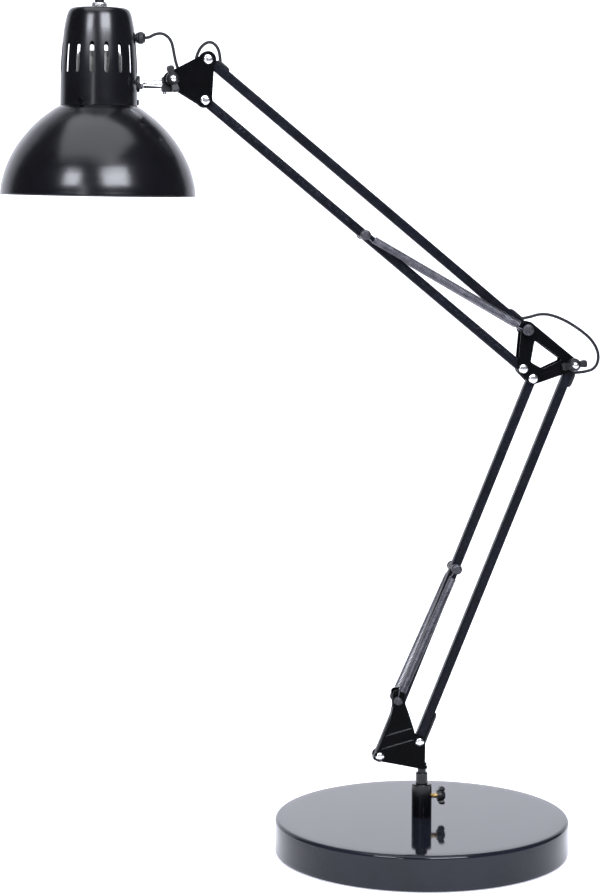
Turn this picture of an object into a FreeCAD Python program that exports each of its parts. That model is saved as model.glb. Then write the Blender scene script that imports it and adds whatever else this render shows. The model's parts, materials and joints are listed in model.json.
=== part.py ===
import FreeCAD, Part
import math
import os

os.makedirs("parts", exist_ok=True)

# Spring-balanced desk lamp: a weighted round base, a post that turns in a socket, two
# parallelogram arms of square tube in the plane y = 0, and a dome shade on a stem.
# Millimetres, +Z up. Origin: centre of the underside of the base.
# The arms lean towards +X at the elbow and the shade hangs on the -X side.

V = FreeCAD.Vector
Y = V(0, 1, 0)

# ---------------------------------------------------------------- driving dimensions
base_d = 240.0            # round base
base_h = 29.0             # floor to top of base
base_wall = 1.2
base_edge_r = 3.0
socket_r = 8.2
socket_top = 56.4
post_r = 4.9
bore_play = 0.05          # radial play of every running fit
clamp_z = 45.6            # height of the clamp screw in the socket

tube = 7.5                # square arm tube, across flats
tube_wall = 0.8
tube_corner = 1.4
tube_end = 4.0            # tube beyond its pivot
lower_len = 330.6         # pivot to pivot
upper_len = 333.2
lower_lean = 22.07        # degrees from vertical, towards +X
upper_rise = 39.75        # degrees above horizontal, towards -X

P1 = (-35.9, 81.1)        # front lower tube, bottom pivot (x, z)
P2 = (-3.15, 92.0)        # rear lower tube, bottom pivot
link_upper = (2.5, 31.5)  # from the front to the rear pivot of the upper arm
P5 = (80.2, 395.6)        # front upper tube, elbow pivot
P9 = (-201.5, 624.8)      # head tilt pivot

plate_in = 4.6            # inner face of the bracket plates, from y = 0
plate_t = 1.2
rivet_r = 2.5
rivet_head_r = 3.6
spring_y = 9.2            # springs lie either side of the arm
spring_r = 3.2
flex_r = 1.25             # two-core flex
ear = (-21.6, 127.1)      # spring studs on the lower bracket
anchor_l = 165.0          # lower spring anchor, up the front tube from P1
anchor_u = 168.6          # upper spring anchor, along the front tube from P5

head_x = -258.2           # axis of shade and lampholder housing, before the rest tilt
head_rest_tilt = 0.95     # degrees about +Y through P9
stem_z = 620.6
stem_r = 3.4
dome_top = 603.2
vent_count = 16
vent_w = 3.4
vent_z0, vent_z1 = 628.0, 651.5

s1, c1 = math.sin(math.radians(lower_lean)), math.cos(math.radians(lower_lean))
s2, c2 = math.sin(math.radians(upper_rise)), math.cos(math.radians(upper_rise))
u1 = (s1, c1)
u2 = (-c2, s2)


def at(p, d, t, n=0.0):
    """Point t along direction d from p, and n to the right of it."""
    return (p[0] + d[0] * t + d[1] * n, p[1] + d[1] * t - d[0] * n)


P3 = at(P1, u1, lower_len)
P4 = at(P2, u1, lower_len)
P6 = (P5[0] + link_upper[0], P5[1] + link_upper[1])
P7 = at(P5, u2, upper_len)
P8 = at(P6, u2, upper_len)
A_low = at(P1, u1, anchor_l)
A_up = at(P5, u2, anchor_u)

nodes = {}


def put(name, shape):
    """Keeps a node; several solids in one node are a group of like pieces."""
    if isinstance(shape, (list, tuple)):
        shape = Part.makeCompound(list(shape))
    nodes[name] = shape


# ---------------------------------------------------------------- helpers
def cyl_y(p, r, y0, y1):
    lo, hi = min(y0, y1), max(y0, y1)
    return Part.makeCylinder(r, hi - lo, V(p[0], lo, p[1]), Y)


def ring_y(p, r, r_in, y0, y1):
    return cyl_y(p, r, y0, y1).cut(cyl_y(p, r_in, min(y0, y1) - 1, max(y0, y1) + 1))


def prism(points, y0, y1):
    """Polygon in the XZ plane, extruded from y0 to y1."""
    pts = [V(x, y0, z) for x, z in points]
    return Part.Face(Part.makePolygon(pts + [pts[0]])).extrude(V(0, y1 - y0, 0))


def hull(circles, y0, y1):
    """Rounded plate round circles (x, z, r) given anticlockwise in the XZ view from -Y."""
    n = len(circles)
    normals = []
    for i in range(n):
        x1, z1, r1 = circles[i]
        x2, z2, r2 = circles[(i + 1) % n]
        dx, dz = x2 - x1, z2 - z1
        length = math.hypot(dx, dz)
        tx, tz = dx / length, dz / length
        k = (r1 - r2) / length
        q = math.sqrt(1 - k * k)
        normals.append((tz * q + tx * k, -tx * q + tz * k))
    edges = []
    for i in range(n):
        x, z, r = circles[i]
        a, b = normals[i - 1], normals[i]
        a0, a1 = math.atan2(a[1], a[0]), math.atan2(b[1], b[0])
        while a1 < a0:
            a1 += 2 * math.pi
        am = (a0 + a1) / 2
        p0 = V(x + r * a[0], y0, z + r * a[1])
        pm = V(x + r * math.cos(am), y0, z + r * math.sin(am))
        p1 = V(x + r * b[0], y0, z + r * b[1])
        edges.append(Part.Arc(p0, pm, p1).toShape())
        x2, z2, r2 = circles[(i + 1) % n]
        q0 = V(x2 + r2 * b[0], y0, z2 + r2 * b[1])
        edges.append(Part.LineSegment(p1, q0).toShape())
    return Part.Face(Part.Wire(edges)).extrude(V(0, y1 - y0, 0))


def turned(points, base=(0, 0, 0), axis="z"):
    """Closed profile of (radius, height) points, turned about an axis through base."""
    bx, by, bz = base
    if axis == "z":
        pts = [V(bx + r, by, bz + h) for r, h in points]
        direction = V(0, 0, 1)
    elif axis == "y":
        pts = [V(bx + r, by + h, bz) for r, h in points]
        direction = V(0, 1, 0)
    else:
        pts = [V(bx + h, by + r, bz) for r, h in points]
        direction = V(1, 0, 0)
    face = Part.Face(Part.makePolygon(pts + [pts[0]]))
    return solid(face.revolve(V(bx, by, bz), direction, 360))


def solid(shape):
    s = shape.Solids[0] if shape.Solids else Part.Solid(shape.Shells[0])
    if s.Volume < 0:
        s.reverse()
    return s


def rounded_rect(w, h, r):
    """Wire in the XY plane, centred on the origin."""
    a, b = w / 2, h / 2
    k = r * (1 - math.sqrt(0.5))
    pts = [
        (V(-a + r, -b, 0), V(a - r, -b, 0)),
        (V(a, -b + r, 0), V(a, b - r, 0)),
        (V(a - r, b, 0), V(-a + r, b, 0)),
        (V(-a, b - r, 0), V(-a, -b + r, 0)),
    ]
    mids = [V(a - k, -b + k, 0), V(a - k, b - k, 0), V(-a + k, b - k, 0), V(-a + k, -b + k, 0)]
    edges = []
    for i in range(4):
        edges.append(Part.LineSegment(*pts[i]).toShape())
        edges.append(Part.Arc(pts[i][1], mids[i], pts[(i + 1) % 4][0]).toShape())
    return Part.Wire(edges)


def along(shape, p, d, t=0.0):
    """Takes a shape built up +Z to point p, with +Z turned to direction d."""
    s = shape.copy()
    s.rotate(V(0, 0, 0), Y, math.degrees(math.atan2(d[0], d[1])))
    q = at(p, d, t)
    s.translate(V(q[0], 0, q[1]))
    return s


def square_tube(length):
    outer = Part.Face(rounded_rect(tube, tube, tube_corner)).extrude(V(0, 0, length))
    w = tube - 2 * tube_wall
    inner = Part.Face(rounded_rect(w, w, 0.7)).extrude(V(0, 0, length + 2))
    inner.translate(V(0, 0, -1))
    return outer.cut(inner)


def plug(length):
    w = tube - 2 * tube_wall - 0.04
    return Part.Face(rounded_rect(w, w, 0.7)).extrude(V(0, 0, length))


def arm_tube(p, d, length, hole_a, hole_b):
    """Tube from pivot p along d, with a cross hole at each pivot."""
    body = along(square_tube(length + 2 * tube_end), p, d, -tube_end)
    body = body.cut(cyl_y(p, hole_a, -8, 8)).cut(cyl_y(at(p, d, length), hole_b, -8, 8))
    return body


def arm_plugs(p, d, length, hole_a, hole_b):
    """A moulded plug in each end of a tube, drilled for the pivot."""
    size = tube_end + 4.2
    q = at(p, d, length)
    low = along(plug(size - 0.3), p, d, -tube_end + 0.3).cut(cyl_y(p, hole_a, -8, 8))
    high = along(plug(size - 0.3), p, d, length - 4.2).cut(cyl_y(q, hole_b, -8, 8))
    return [low, high]


def dome_head(p, r, y0, h, side):
    """Low domed head on a plate face at |y| = y0, standing outwards by h."""
    k = 1 if side > 0 else -1
    pts = [(0, 0), (r, 0), (r, k * h * 0.35), (r * 0.9, k * h * 0.68), (r * 0.68, k * h * 0.88), (r * 0.36, k * h * 0.98), (0, k * h)]
    return turned(pts, (p[0], k * y0, p[1]), "y")


def rivet(p, half, r, head_r, head_h):
    body = cyl_y(p, r, -half, half)
    return body.fuse([dome_head(p, head_r, half, head_h, 1), dome_head(p, head_r, half, head_h, -1)]).removeSplitter()


def washers(p, r, r_in, y0, y1):
    return [ring_y(p, r, r_in, y0, y1), ring_y(p, r, r_in, -y1, -y0)]


def route(points):
    """Edges of straight runs joined by tangent arcs of 0.45 of the shorter run."""
    pts = [V(x, 0, z) for x, z in points]
    edges, radii = [], []
    start = pts[0]
    for i in range(1, len(pts) - 1):
        a, b, c = pts[i - 1], pts[i], pts[i + 1]
        l0, l1 = (b - a).Length, (c - b).Length
        d0, d1 = (b - a) / l0, (c - b) / l1
        turn = math.acos(max(-1.0, min(1.0, d0.dot(d1))))
        cut = 0.45 * min(l0, l1)
        radius = cut / math.tan(turn / 2)
        p0, p1 = b - d0 * cut, b + d1 * cut
        bis = d1 - d0
        bis = bis / bis.Length
        mid = b + bis * (radius / math.cos(turn / 2) - radius)
        edges.append(Part.LineSegment(start, p0).toShape())
        edges.append(Part.Arc(p0, mid, p1).toShape())
        start = p1
        radii.append(round(radius, 1))
    edges.append(Part.LineSegment(start, pts[-1]).toShape())
    print("flex bend radii", radii)
    return edges


def sweep(edges, r, name=None):
    wire = Part.Wire(edges)
    first = wire.Edges[0]
    p = first.valueAt(first.FirstParameter)
    t = first.tangentAt(first.FirstParameter)
    s = solid(wire.makePipeShell([Part.Wire(Part.makeCircle(r, p, t))], True, False))
    if name:
        print("%s: length %.1f, volume over section times length %.4f" % (name, wire.Length, s.Volume / (math.pi * r * r * wire.Length)))
    return s


# ---------------------------------------------------------------- base
R = base_d / 2
e = base_edge_r
arc = [(R - e + e * math.sin(math.radians(a)), base_h - e + e * math.cos(math.radians(a))) for a in range(0, 91, 10)]
ei = e - base_wall
arc_in = [(R - e + ei * math.sin(math.radians(a)), base_h - e + ei * math.cos(math.radians(a))) for a in range(90, -1, -15)]
cover = turned([(6.2, base_h)] + arc + [(R, 0.8), (R - base_wall, 0.8)] + arc_in + [(6.2, base_h - base_wall)])
put("base_cover", cover)
ballast_top = base_h - base_wall - 0.1
put("ballast_disc", turned([(6.2, 14.0), (6.2, ballast_top), (40.0, ballast_top), (42.0, ballast_top - 2), (42.0, 13.5), (46.0, 11.5), (104.0, 11.5), (106.0, 9.5), (106.0, 4.2), (16.0, 4.2), (16.0, 14.0)]))
put("base_pad", turned([(0, 0), (R - 2.2, 0), (R - 1.5, 0.7), (R - 1.5, 3.6), (0, 3.6)]))
socket = turned([(post_r + bore_play, socket_top), (socket_r - 0.5, socket_top), (socket_r, socket_top - 0.5), (socket_r, base_h), (6.0, base_h), (6.0, 8.4), (0, 8.4), (0, 31.5), (post_r + bore_play, 31.5)])
socket = socket.cut(Part.makeCylinder(2.05 + bore_play, 12, V(0, 0, clamp_z), V(1, 0, 0)))
put("base_socket", socket)
nut = Part.Face(Part.makePolygon([V(10.4 * math.cos(math.radians(a)), 10.4 * math.sin(math.radians(a)), 9.0) for a in range(0, 361, 60)])).extrude(V(0, 0, 4.9))
put("socket_nut", nut.cut(Part.makeCylinder(6.05, 12, V(0, 0, 4))))

# ---------------------------------------------------------------- clamp screw and its wing head
def wing_nut(r, thick, bore, hub):
    """Two-winged nut built up +Z from z = 0, wings along X, with the screw hole through it."""
    body = turned([(bore, 0), (hub, 0), (hub, thick * 0.45), (hub - 0.5, thick * 0.72), (hub - 1.5, thick * 0.93), (hub - 2.2, thick), (bore, thick)])
    wings = []
    for k in (1, -1):
        profile = [(bore + 0.3, 0.9), (r - 2.6, 0.9), (r - 0.9, 1.5), (r - 0.1, 2.8), (r, thick * 0.66), (r - 0.5, thick * 0.86), (r - 1.7, thick * 0.95), (hub - 1.0, thick * 0.8), (bore + 0.3, thick * 0.8)]
        f = Part.Face(Part.makePolygon([V(k * x, -3.0, z) for x, z in profile] + [V(k * profile[0][0], -3.0, profile[0][1])])).extrude(V(0, 6.0, 0))
        plan = [(0, -2.3), (k * (hub - 1), -2.3), (k * (r - 2.4), -3.0), (k * (r - 0.9), -2.6), (k * r, -1.4), (k * r, 1.4), (k * (r - 0.9), 2.6), (k * (r - 2.4), 3.0), (k * (hub - 1), 2.3), (0, 2.3)]
        g = Part.Face(Part.makePolygon([V(x, y, 0) for x, y in plan] + [V(0, -2.3, 0)])).extrude(V(0, 0, thick))
        wings.append(f.common(g))
    body = body.fuse(wings).removeSplitter()
    return solid(body.cut(Part.makeCylinder(bore, thick + 4, V(0, 0, -2))))


def on_plate(nut, p, turn):
    """Stands a nut on the near face of a bracket at p, its wings turned in the XZ plane."""
    nut = nut.copy()
    nut.rotate(V(0, 0, 0), V(0, 0, 1), turn)
    nut.rotate(V(0, 0, 0), V(1, 0, 0), 90)
    nut.translate(V(p[0], -6.1, p[1]))
    return nut


put("clamp_screw", Part.makeCylinder(2.05, 13.4, V(post_r + 0.35, 0, clamp_z), V(1, 0, 0)))
wing = wing_nut(7.6, 6.6, 2.05 + 0.01, 4.6)
wing.rotate(V(0, 0, 0), Y, 90)
wing.translate(V(12.9, 0, clamp_z))
put("clamp_wing", wing)

# ---------------------------------------------------------------- post and lower bracket
post = turned([(0, 32.0), (post_r - 0.8, 32.0), (post_r, 32.8), (post_r, 65.2), (post_r - 0.5, 65.8), (3.5, 65.8), (3.5, 69.3), (2.6, 69.3), (2.6, 72.05), (4.2, 72.05), (4.0, 73.2), (2.8, 73.8), (0, 74.0)])
put("swivel_post", post)

# Each cheek is one sheet with a joggle: narrow at the ear, wider round the tube pivots.
fold = (math.cos(math.radians(14.5)), math.sin(math.radians(14.5)))
up = (-fold[1], fold[0])
q1 = 101.0 * up[1] + -19.0 * up[0]   # upper fold line
q2 = 91.3 * up[1] + -19.0 * up[0]    # lower fold line
wide = 5.6


def cheek(side, trim):
    y_in, y_out = plate_in, plate_in + plate_t
    w_in, w_out = wide, wide + plate_t
    prof = [(q2 - 60, w_in), (q2 - 60, w_out), (q2, w_out), (q1, y_out), (q1 + 70, y_out), (q1 + 70, y_in), (q1, y_in), (q2, w_in)]
    pts = [V(up[0] * q - fold[0] * 90, side * y, up[1] * q - fold[1] * 90) for q, y in prof]
    sheet = Part.Face(Part.makePolygon(pts + [pts[0]])).extrude(V(fold[0] * 180, 0, fold[1] * 180))
    outline = [
        (-41.0 + trim, 78.9), (-39.6 + trim, 78.1), (-23.5, 74.5), (-1.9, 69.8), (-0.4, 69.55), (0.9, 69.9), (1.5, 71.0), (1.6, 92.0), (0.9, 94.6), (-1.0, 96.4), (-3.2, 96.9),
        (-5.2, 96.4), (-6.6, 97.2), (-8.1, 103.8), (-11.9, 115.6), (-14.6, 123.1), (-15.2, 128.0), (-16.5, 132.9), (-18.2, 135.0), (-20.0, 135.7), (-22.8, 135.5), (-24.6, 134.3),
        (-25.5 + trim * 0.5, 131.6), (-25.2 + trim, 121.2), (-27.7 + trim, 109.7), (-31.8 + trim, 99.9), (-35.9 + trim, 90.9), (-40.8 + trim, 80.2),
    ]
    return sheet.common(prism(outline, side * 1.0, side * 12.0))


web = prism([(-9.5, 71.5), (-1.9, 69.8), (-0.4, 69.5), (3.4, 69.5), (3.4, 72.0), (-9.5, 72.0)], -wide, wide)
bracket = cheek(-1, 0.0).fuse([cheek(1, 1.2), web]).removeSplitter()
bracket = bracket.cut([Part.makeCylinder(2.61, 6, V(0, 0, 67)), cyl_y(P1, rivet_r + 0.01, -12, 12), cyl_y(P2, rivet_r + 0.01, -12, 12), cyl_y(ear, 2.01, -12, 12)])
put("lower_bracket", solid(bracket))
put("lower_rivets", [rivet(P1, wide + plate_t, rivet_r, rivet_head_r, 1.6), rivet(P2, wide + plate_t, rivet_r, rivet_head_r, 1.6)])
put("lower_spacers", washers(P1, 4.6, rivet_r + 0.02, 4.05, wide) + washers(P2, 3.1, rivet_r + 0.02, 4.05, wide))


def spring_stud(p, side, y_in):
    """Grooved stud, riveted through the ear, that one spring hooks on."""
    k = side
    pts = [(0, k * y_in), (2.0, k * y_in), (2.0, k * 5.8), (3.2, k * 5.8), (3.2, k * 7.2), (2.0, k * 7.9), (2.0, k * 10.5), (3.3, k * 10.9), (3.3, k * 11.7), (2.4, k * 12.3), (0, k * 12.3)]
    return turned(pts, (p[0], 0, p[1]), "y")


put("spring_studs", [spring_stud(ear, -1, 4.6), spring_stud(ear, 1, 4.6)])

# ---------------------------------------------------------------- lower arm, rear tube
hole = rivet_r + bore_play
open_hole = rivet_r + 0.15
bolt_r = 2.4
rear = arm_tube(P2, u1, lower_len, hole, bolt_r + bore_play)


def wall_slot(p, d, t0, t1, side):
    """Long slot through one wall of a tube for the flex, between t0 and t1."""
    box = Part.makeBox(3.6, 3.4, t1 - t0, V(1.9 if side > 0 else -5.5, -1.7, 0))
    return along(box, p, d, t0)


rear = rear.cut([wall_slot(P2, u1, lower_len - 12.5, lower_len - 4.6, 1), wall_slot(P2, u1, 9.0, 16.5, 1)])
put("lower_rear_tube", solid(rear))


def saddle(p, d, t0, t1, height, side, width=6.4):
    """Moulded grommet on one wall of a tube, tapered to both ends."""
    k = 1 if side > 0 else -1
    o = tube / 2
    pts = [(o, t0), (o + height * 0.75, t0 + 1.2), (o + height, t0 + 3.5), (o + height, t1 - 3.5), (o + height * 0.75, t1 - 1.2), (o, t1)]
    f = Part.Face(Part.makePolygon([V(k * x, -width / 2, z) for x, z in pts] + [V(k * pts[0][0], -width / 2, pts[0][1])])).extrude(V(0, width, 0))
    return along(f, p, d, 0)


# ---------------------------------------------------------------- flex route
def tipped(x, z):
    """A point of the upright head, at the head's rest tilt."""
    a = math.radians(head_rest_tilt)
    dx, dz = x - P9[0], z - P9[1]
    return (P9[0] + dx * math.cos(a) + dz * math.sin(a), P9[1] - dx * math.sin(a) + dz * math.cos(a))


back1 = (-u1[0], -u1[1])
back2 = (-u2[0], -u2[1])
d_in = at(P8, back2, 24.0)
e_in = at(P6, u2, 24.0)
b_in = at(P4, back1, 20.0)
b_out = at(P2, u1, 14.0)
head_route = [
    tipped(-226.0, 656.0), tipped(-220.0, 656.0), (-214.6, 659.6), (-207.6, 660.2), (-201.6, 655.0), (-199.7, 645.4), (-198.0, 636.4), (-194.4, 627.6), (-187.4, 624.8),
    (-182.8, 630.6), (-182.6, 641.6), (-178.4, 650.6), (-171.2, 654.6), (-165.0, 649.8), (-163.3, 641.0), at(P8, back2, 13.2), d_in,
]
elbow_route = [
    e_in, at(P6, u2, 12.0), (85.0, 436.4), (97.4, 440.0), (112.6, 435.6), (127.6, 426.6), (138.6, 417.4), (144.4, 405.8), (141.6, 394.6), (131.0, 391.6), at(P4, back1, 7.6), b_in,
]
head_edges = route(head_route)
elbow_edges = route(elbow_route)
put("flex_head_a", sweep(head_edges[:6], flex_r, "flex_head_a"))
put("flex_head_b", sweep(head_edges[6:14], flex_r, "flex_head_b"))
put("flex_head_c", sweep(head_edges[14:], flex_r, "flex_head_c"))
put("flex_upper_run", sweep([Part.LineSegment(V(d_in[0], 0, d_in[1]), V(e_in[0], 0, e_in[1])).toShape()], flex_r, "flex_upper_run"))
put("flex_elbow_a", sweep(elbow_edges[:10], flex_r, "flex_elbow_a"))
put("flex_elbow_b", sweep(elbow_edges[10:], flex_r, "flex_elbow_b"))
put("flex_lower_run", sweep([Part.LineSegment(V(b_in[0], 0, b_in[1]), V(b_out[0], 0, b_out[1])).toShape()], flex_r, "flex_lower_run"))
room_c = sweep(head_edges[14:], flex_r + 0.08)
room_ea = sweep(elbow_edges[:10], flex_r + 0.08)
room_eb = sweep(elbow_edges[10:], flex_r + 0.08)

grommet_top = saddle(P2, u1, lower_len - 18.5, lower_len - 4.6, 2.3, 1).cut(room_eb)
boot = saddle(P2, u1, -2.4, 27.0, 2.0, 1, 7.9)
boot = boot.cut(along(Part.makeCylinder(1.9, 9, V(2.0, 0, 12.8), V(1, 0, 0)), P2, u1))
put("lower_flex_grommets", [solid(grommet_top), solid(boot)])

# ---------------------------------------------------------------- lower arm, front tube and springs
def shoulder_bolt(p):
    """Bolt through a tube with a shoulder each side that a spring hooks round."""
    half = [(2.8, 12.4), (4.0, 11.7), (4.0, 10.7), (2.0, 10.7), (2.0, 7.7), (3.9, 7.7), (3.9, 3.75), (1.6, 3.75)]
    prof = [(0, -12.4)] + [(r, -h) for r, h in half] + [(r, h) for r, h in reversed(half)] + [(0, 12.4)]
    return turned(prof, (p[0], 0, p[1]), "y")


front = arm_tube(P1, u1, lower_len, hole, open_hole).cut(cyl_y(A_low, 1.61, -8, 8))
put("lower_front_tube", solid(front))
put("lower_front_plugs", arm_plugs(P1, u1, lower_len, hole, open_hole))
put("lower_anchor_bolt", shoulder_bolt(A_low))


def spring(pa, pb, y, ra, rb):
    """Coil as its outer tube, with an eye round the pin at each end."""
    dx, dz = pb[0] - pa[0], pb[1] - pa[1]
    length = math.hypot(dx, dz)
    d = (dx / length, dz / length)
    gap = 8.0
    coil = Part.makeCylinder(spring_r, length - 2 * gap, V(0, 0, gap)).cut(Part.makeCylinder(spring_r - 0.95, length, V(0, 0, 0)))
    ends = []
    for z0, r, s in ((0, ra, 1), (length, rb, -1)):
        eye = Part.makeTorus(r + 0.62, 0.45, V(0, 0, z0), Y)
        z1 = z0 + s * (r + 0.62)
        stalk = Part.makeCylinder(0.45, gap - (r + 0.62) - 0.3, V(0, 0, z1), V(0, 0, s))
        cap = Part.makeCylinder(spring_r, 0.9, V(0, 0, z0 + s * (gap - 0.9)), V(0, 0, s))
        ends += [eye, stalk, cap]
    body = coil.fuse(ends).removeSplitter()
    body = along(body, pa, d)
    body.translate(V(0, y, 0))
    return solid(body)


put("lower_springs", [spring(ear, A_low, -spring_y, 2.0, 2.0), spring(ear, A_low, spring_y, 2.0, 2.0)])

# ---------------------------------------------------------------- elbow
def elbow_plate(side):
    y0, y1 = side * plate_in, side * (plate_in + plate_t)
    body = hull([(P6[0] + 1.0, P6[1] + 1.2, 5.3), (P5[0], P5[1], 4.6), (P3[0], P3[1], 4.8), (P4[0], P4[1], 4.9)], y0, y1)
    window = hull([(90.4, 416.4, 1.5), (87.9, 401.6, 1.5), (96.4, 396.8, 1.5), (109.2, 402.6, 1.5)], y0 - side * 2, y1 + side * 2)
    holes = [cyl_y(P3, rivet_r + 0.01, -12, 12), cyl_y(P5, rivet_r + 0.01, -12, 12), cyl_y(P6, rivet_r + 0.01, -12, 12), cyl_y(P4, bolt_r + 0.01, -12, 12)]
    body = body.cut([window] + holes)
    ribs = []
    y_out = side * (plate_in + plate_t)
    for p, q in (((P6[0] + 3.0, P6[1] + 0.6), (P4[0] - 0.4, P4[1] + 1.6)), ((P6[0] - 0.6, P6[1]), (P5[0] + 0.8, P5[1])), ((P3[0] + 0.5, P3[1] + 0.4), (P4[0], P4[1] + 0.2))):
        length = math.hypot(q[0] - p[0], q[1] - p[1])
        t = ((q[0] - p[0]) / length, (q[1] - p[1]) / length)
        a0, a1 = at(p, t, 7.4), at(p, t, length - 7.4)
        ribs.append(hull([(a0[0], a0[1], 1.2), (a1[0], a1[1], 1.2)], y_out, y_out + side * 0.25))
    return solid(body.fuse(ribs).removeSplitter())


put("elbow_plates", [elbow_plate(-1), elbow_plate(1)])
put("elbow_rivets", [rivet(P3, plate_in + plate_t, rivet_r, 3.9, 1.7), rivet(P5, plate_in + plate_t, rivet_r, 3.9, 1.7)])
pin = [(0, -12.6), (3.2, -12.6), (4.6, -11.9), (4.6, -10.8), (2.5, -10.7), (2.5, 10.7), (4.6, 10.8), (4.6, 11.9), (3.2, 12.6), (0, 12.6)]
put("elbow_spring_pin", turned(pin, (P6[0], 0, P6[1]), "y"))
w_elbow = []
for p, r_in in ((P3, rivet_r), (P5, rivet_r), (P6, rivet_r), (P4, bolt_r)):
    w_elbow += washers(p, 4.4, r_in + 0.02, 4.05, plate_in)
put("elbow_washers", w_elbow)


def clamp_bolt(p, end_y):
    """Bolt with a round head on the far side and its thread end on the near side."""
    prof = [(0, end_y), (1.7, end_y), (bolt_r, end_y + 0.7), (bolt_r, 5.82), (4.4, 5.82), (4.4, 7.6), (3.6, 8.6), (0, 8.8)]
    return turned(prof, (p[0], 0, p[1]), "y")


put("elbow_bolt", clamp_bolt(P4, -16.2))
put("elbow_wing_nut", on_plate(wing_nut(10.6, 7.0, bolt_r + bore_play, 5.6), P4, 8.0))

# ---------------------------------------------------------------- upper arm
d_tube = arm_tube(P6, u2, upper_len, hole, hole)
d_tube = d_tube.cut([wall_slot(P6, u2, 4.8, 13.5, 1), wall_slot(P6, u2, upper_len - 16.4, upper_len - 7.0, 1)])
put("upper_rear_tube", solid(d_tube))
g_head = saddle(P6, u2, upper_len - 19.0, upper_len - 6.0, 1.9, 1).cut(room_c)
g_elbow = saddle(P6, u2, 5.4, 21.0, 1.8, 1).cut(room_ea)
put("upper_flex_grommets", [solid(g_head), solid(g_elbow)])
c_tube = arm_tube(P5, u2, upper_len, hole, open_hole).cut(cyl_y(A_up, 1.61, -8, 8))
put("upper_front_tube", solid(c_tube))
put("upper_front_plugs", arm_plugs(P5, u2, upper_len, hole, open_hole))
put("upper_anchor_bolt", shoulder_bolt(A_up))
put("upper_springs", [spring(P6, A_up, -spring_y, 2.5, 2.0), spring(P6, A_up, spring_y, 2.5, 2.0)])

# ---------------------------------------------------------------- head bracket
def head_plate(side):
    y0, y1 = side * plate_in, side * (plate_in + plate_t)
    body = hull([(P8[0], P8[1], 5.0), (P9[0], P9[1], 5.9), (P7[0], P7[1], 5.4)], y0, y1)
    body = body.fuse([cyl_y(P8, 6.4, y0, y1), cyl_y(P7, 5.9, y0, y1), cyl_y(P9, 6.3, y0, y1)]).removeSplitter()
    return solid(body.cut([cyl_y(P7, rivet_r + 0.01, -12, 12), cyl_y(P8, rivet_r + 0.01, -12, 12), cyl_y(P9, bolt_r + 0.01, -12, 12)]))


put("head_plates", [head_plate(-1), head_plate(1)])
put("head_rivets", [rivet(P7, plate_in + plate_t, rivet_r, 3.9, 1.7), rivet(P8, plate_in + plate_t, rivet_r, 3.9, 1.7)])
put("head_washers", washers(P7, 4.4, rivet_r + 0.02, 4.05, plate_in) + washers(P8, 4.4, rivet_r + 0.02, 4.05, plate_in))
put("head_bolt", clamp_bolt(P9, -16.2))
put("head_wing_nut", on_plate(wing_nut(10.6, 7.0, bolt_r + bore_play, 5.4), P9, 104.0))

# ---------------------------------------------------------------- head, built upright and then tipped to its rest angle
head = {}
block = prism([(-209.4, 615.6), (-208.6, 614.8), (-201.0, 614.8), (-198.6, 617.2), (-197.2, 621.6), (-201.5, 630.2), (-203.5, 629.8), (-206.0, 627.4), (-208.6, 626.4), (-209.4, 625.6)], -4.3, 4.3)
block = block.fuse(cyl_y(P9, 5.4, -4.3, 4.3)).removeSplitter()
block = block.cut([Part.makeCylinder(stem_r + bore_play, 6.1, V(-210.4, 0, stem_z), V(1, 0, 0)), cyl_y(P9, bolt_r + bore_play, -8, 8), Part.makeCylinder(1.5, 8, V(-207.0, 0, 611.0))])
head["pivot_block"] = solid(block)
head["grub_screw"] = Part.makeCylinder(1.48, 4.1, V(-207.0, 0, 613.0))
house = [
    (29.05, 603.3), (29.95, 603.3), (30.0, 608.0), (29.85, 622.0), (29.7, 631.0), (29.4, 638.4), (28.85, 646.0), (28.15, 654.0), (27.35, 661.3),
    (26.65, 665.3), (25.95, 668.8), (25.2, 672.0), (24.4, 674.4), (23.4, 676.2), (21.9, 677.5), (19.6, 678.2), (14.0, 678.7), (5.1, 679.0),
]
inner = [(5.1, 677.9), (14.0, 677.6), (19.2, 677.1), (21.1, 676.5), (22.4, 675.4), (23.3, 673.9), (24.1, 671.7), (24.9, 668.5), (25.65, 665.0), (26.35, 660.9), (27.2, 653.8), (27.9, 645.8), (28.45, 638.3), (28.75, 631.0), (28.9, 622.0)]
housing = turned(house + inner, (head_x, 0, 0))
slots = []
for k in range(vent_count):
    a = math.radians(8.06 + 360.0 / vent_count * k)
    box = Part.makeBox(8, vent_w, vent_z1 - vent_z0 - vent_w, V(24, -vent_w / 2, vent_z0 + vent_w / 2))
    e0 = Part.makeCylinder(vent_w / 2, 8, V(24, 0, vent_z0 + vent_w / 2), V(1, 0, 0))
    e1 = Part.makeCylinder(vent_w / 2, 8, V(24, 0, vent_z1 - vent_w / 2), V(1, 0, 0))
    s = box.fuse([e0, e1])
    s.rotate(V(0, 0, 0), V(0, 0, 1), -90 + math.degrees(a))
    s.translate(V(head_x, 0, 0))
    slots.append(s)
holes = [Part.makeCylinder(2.9, 8, V(head_x + 24, 0, stem_z), V(1, 0, 0)), Part.makeCylinder(3.0, 8, V(head_x + 24, 0, 656.0), V(1, 0, 0))]
screws, bores = [], []
for a in (-31.0, 89.0, 209.0):
    r = math.radians(a)
    d = V(math.sin(r), -math.cos(r), 0)
    c = V(head_x, 0, 606.2)
    shank = Part.makeCylinder(1.3, 5.0, c + d * 26.0, d)
    hd = Part.makeCylinder(2.3, 1.3, c + d * 29.98, d)
    hd = hd.makeFillet(0.5, [ed for ed in hd.Edges if ed.CenterOfMass.distanceToPoint(c + d * 31.28) < 0.05])
    screws.append(solid(shank.fuse(hd).removeSplitter()))
    bores.append(Part.makeCylinder(1.32, 5.6, c + d * 25.6, d))
    bores.append(Part.makeCylinder(2.34, 2.0, c + d * 29.97, d))
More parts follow.
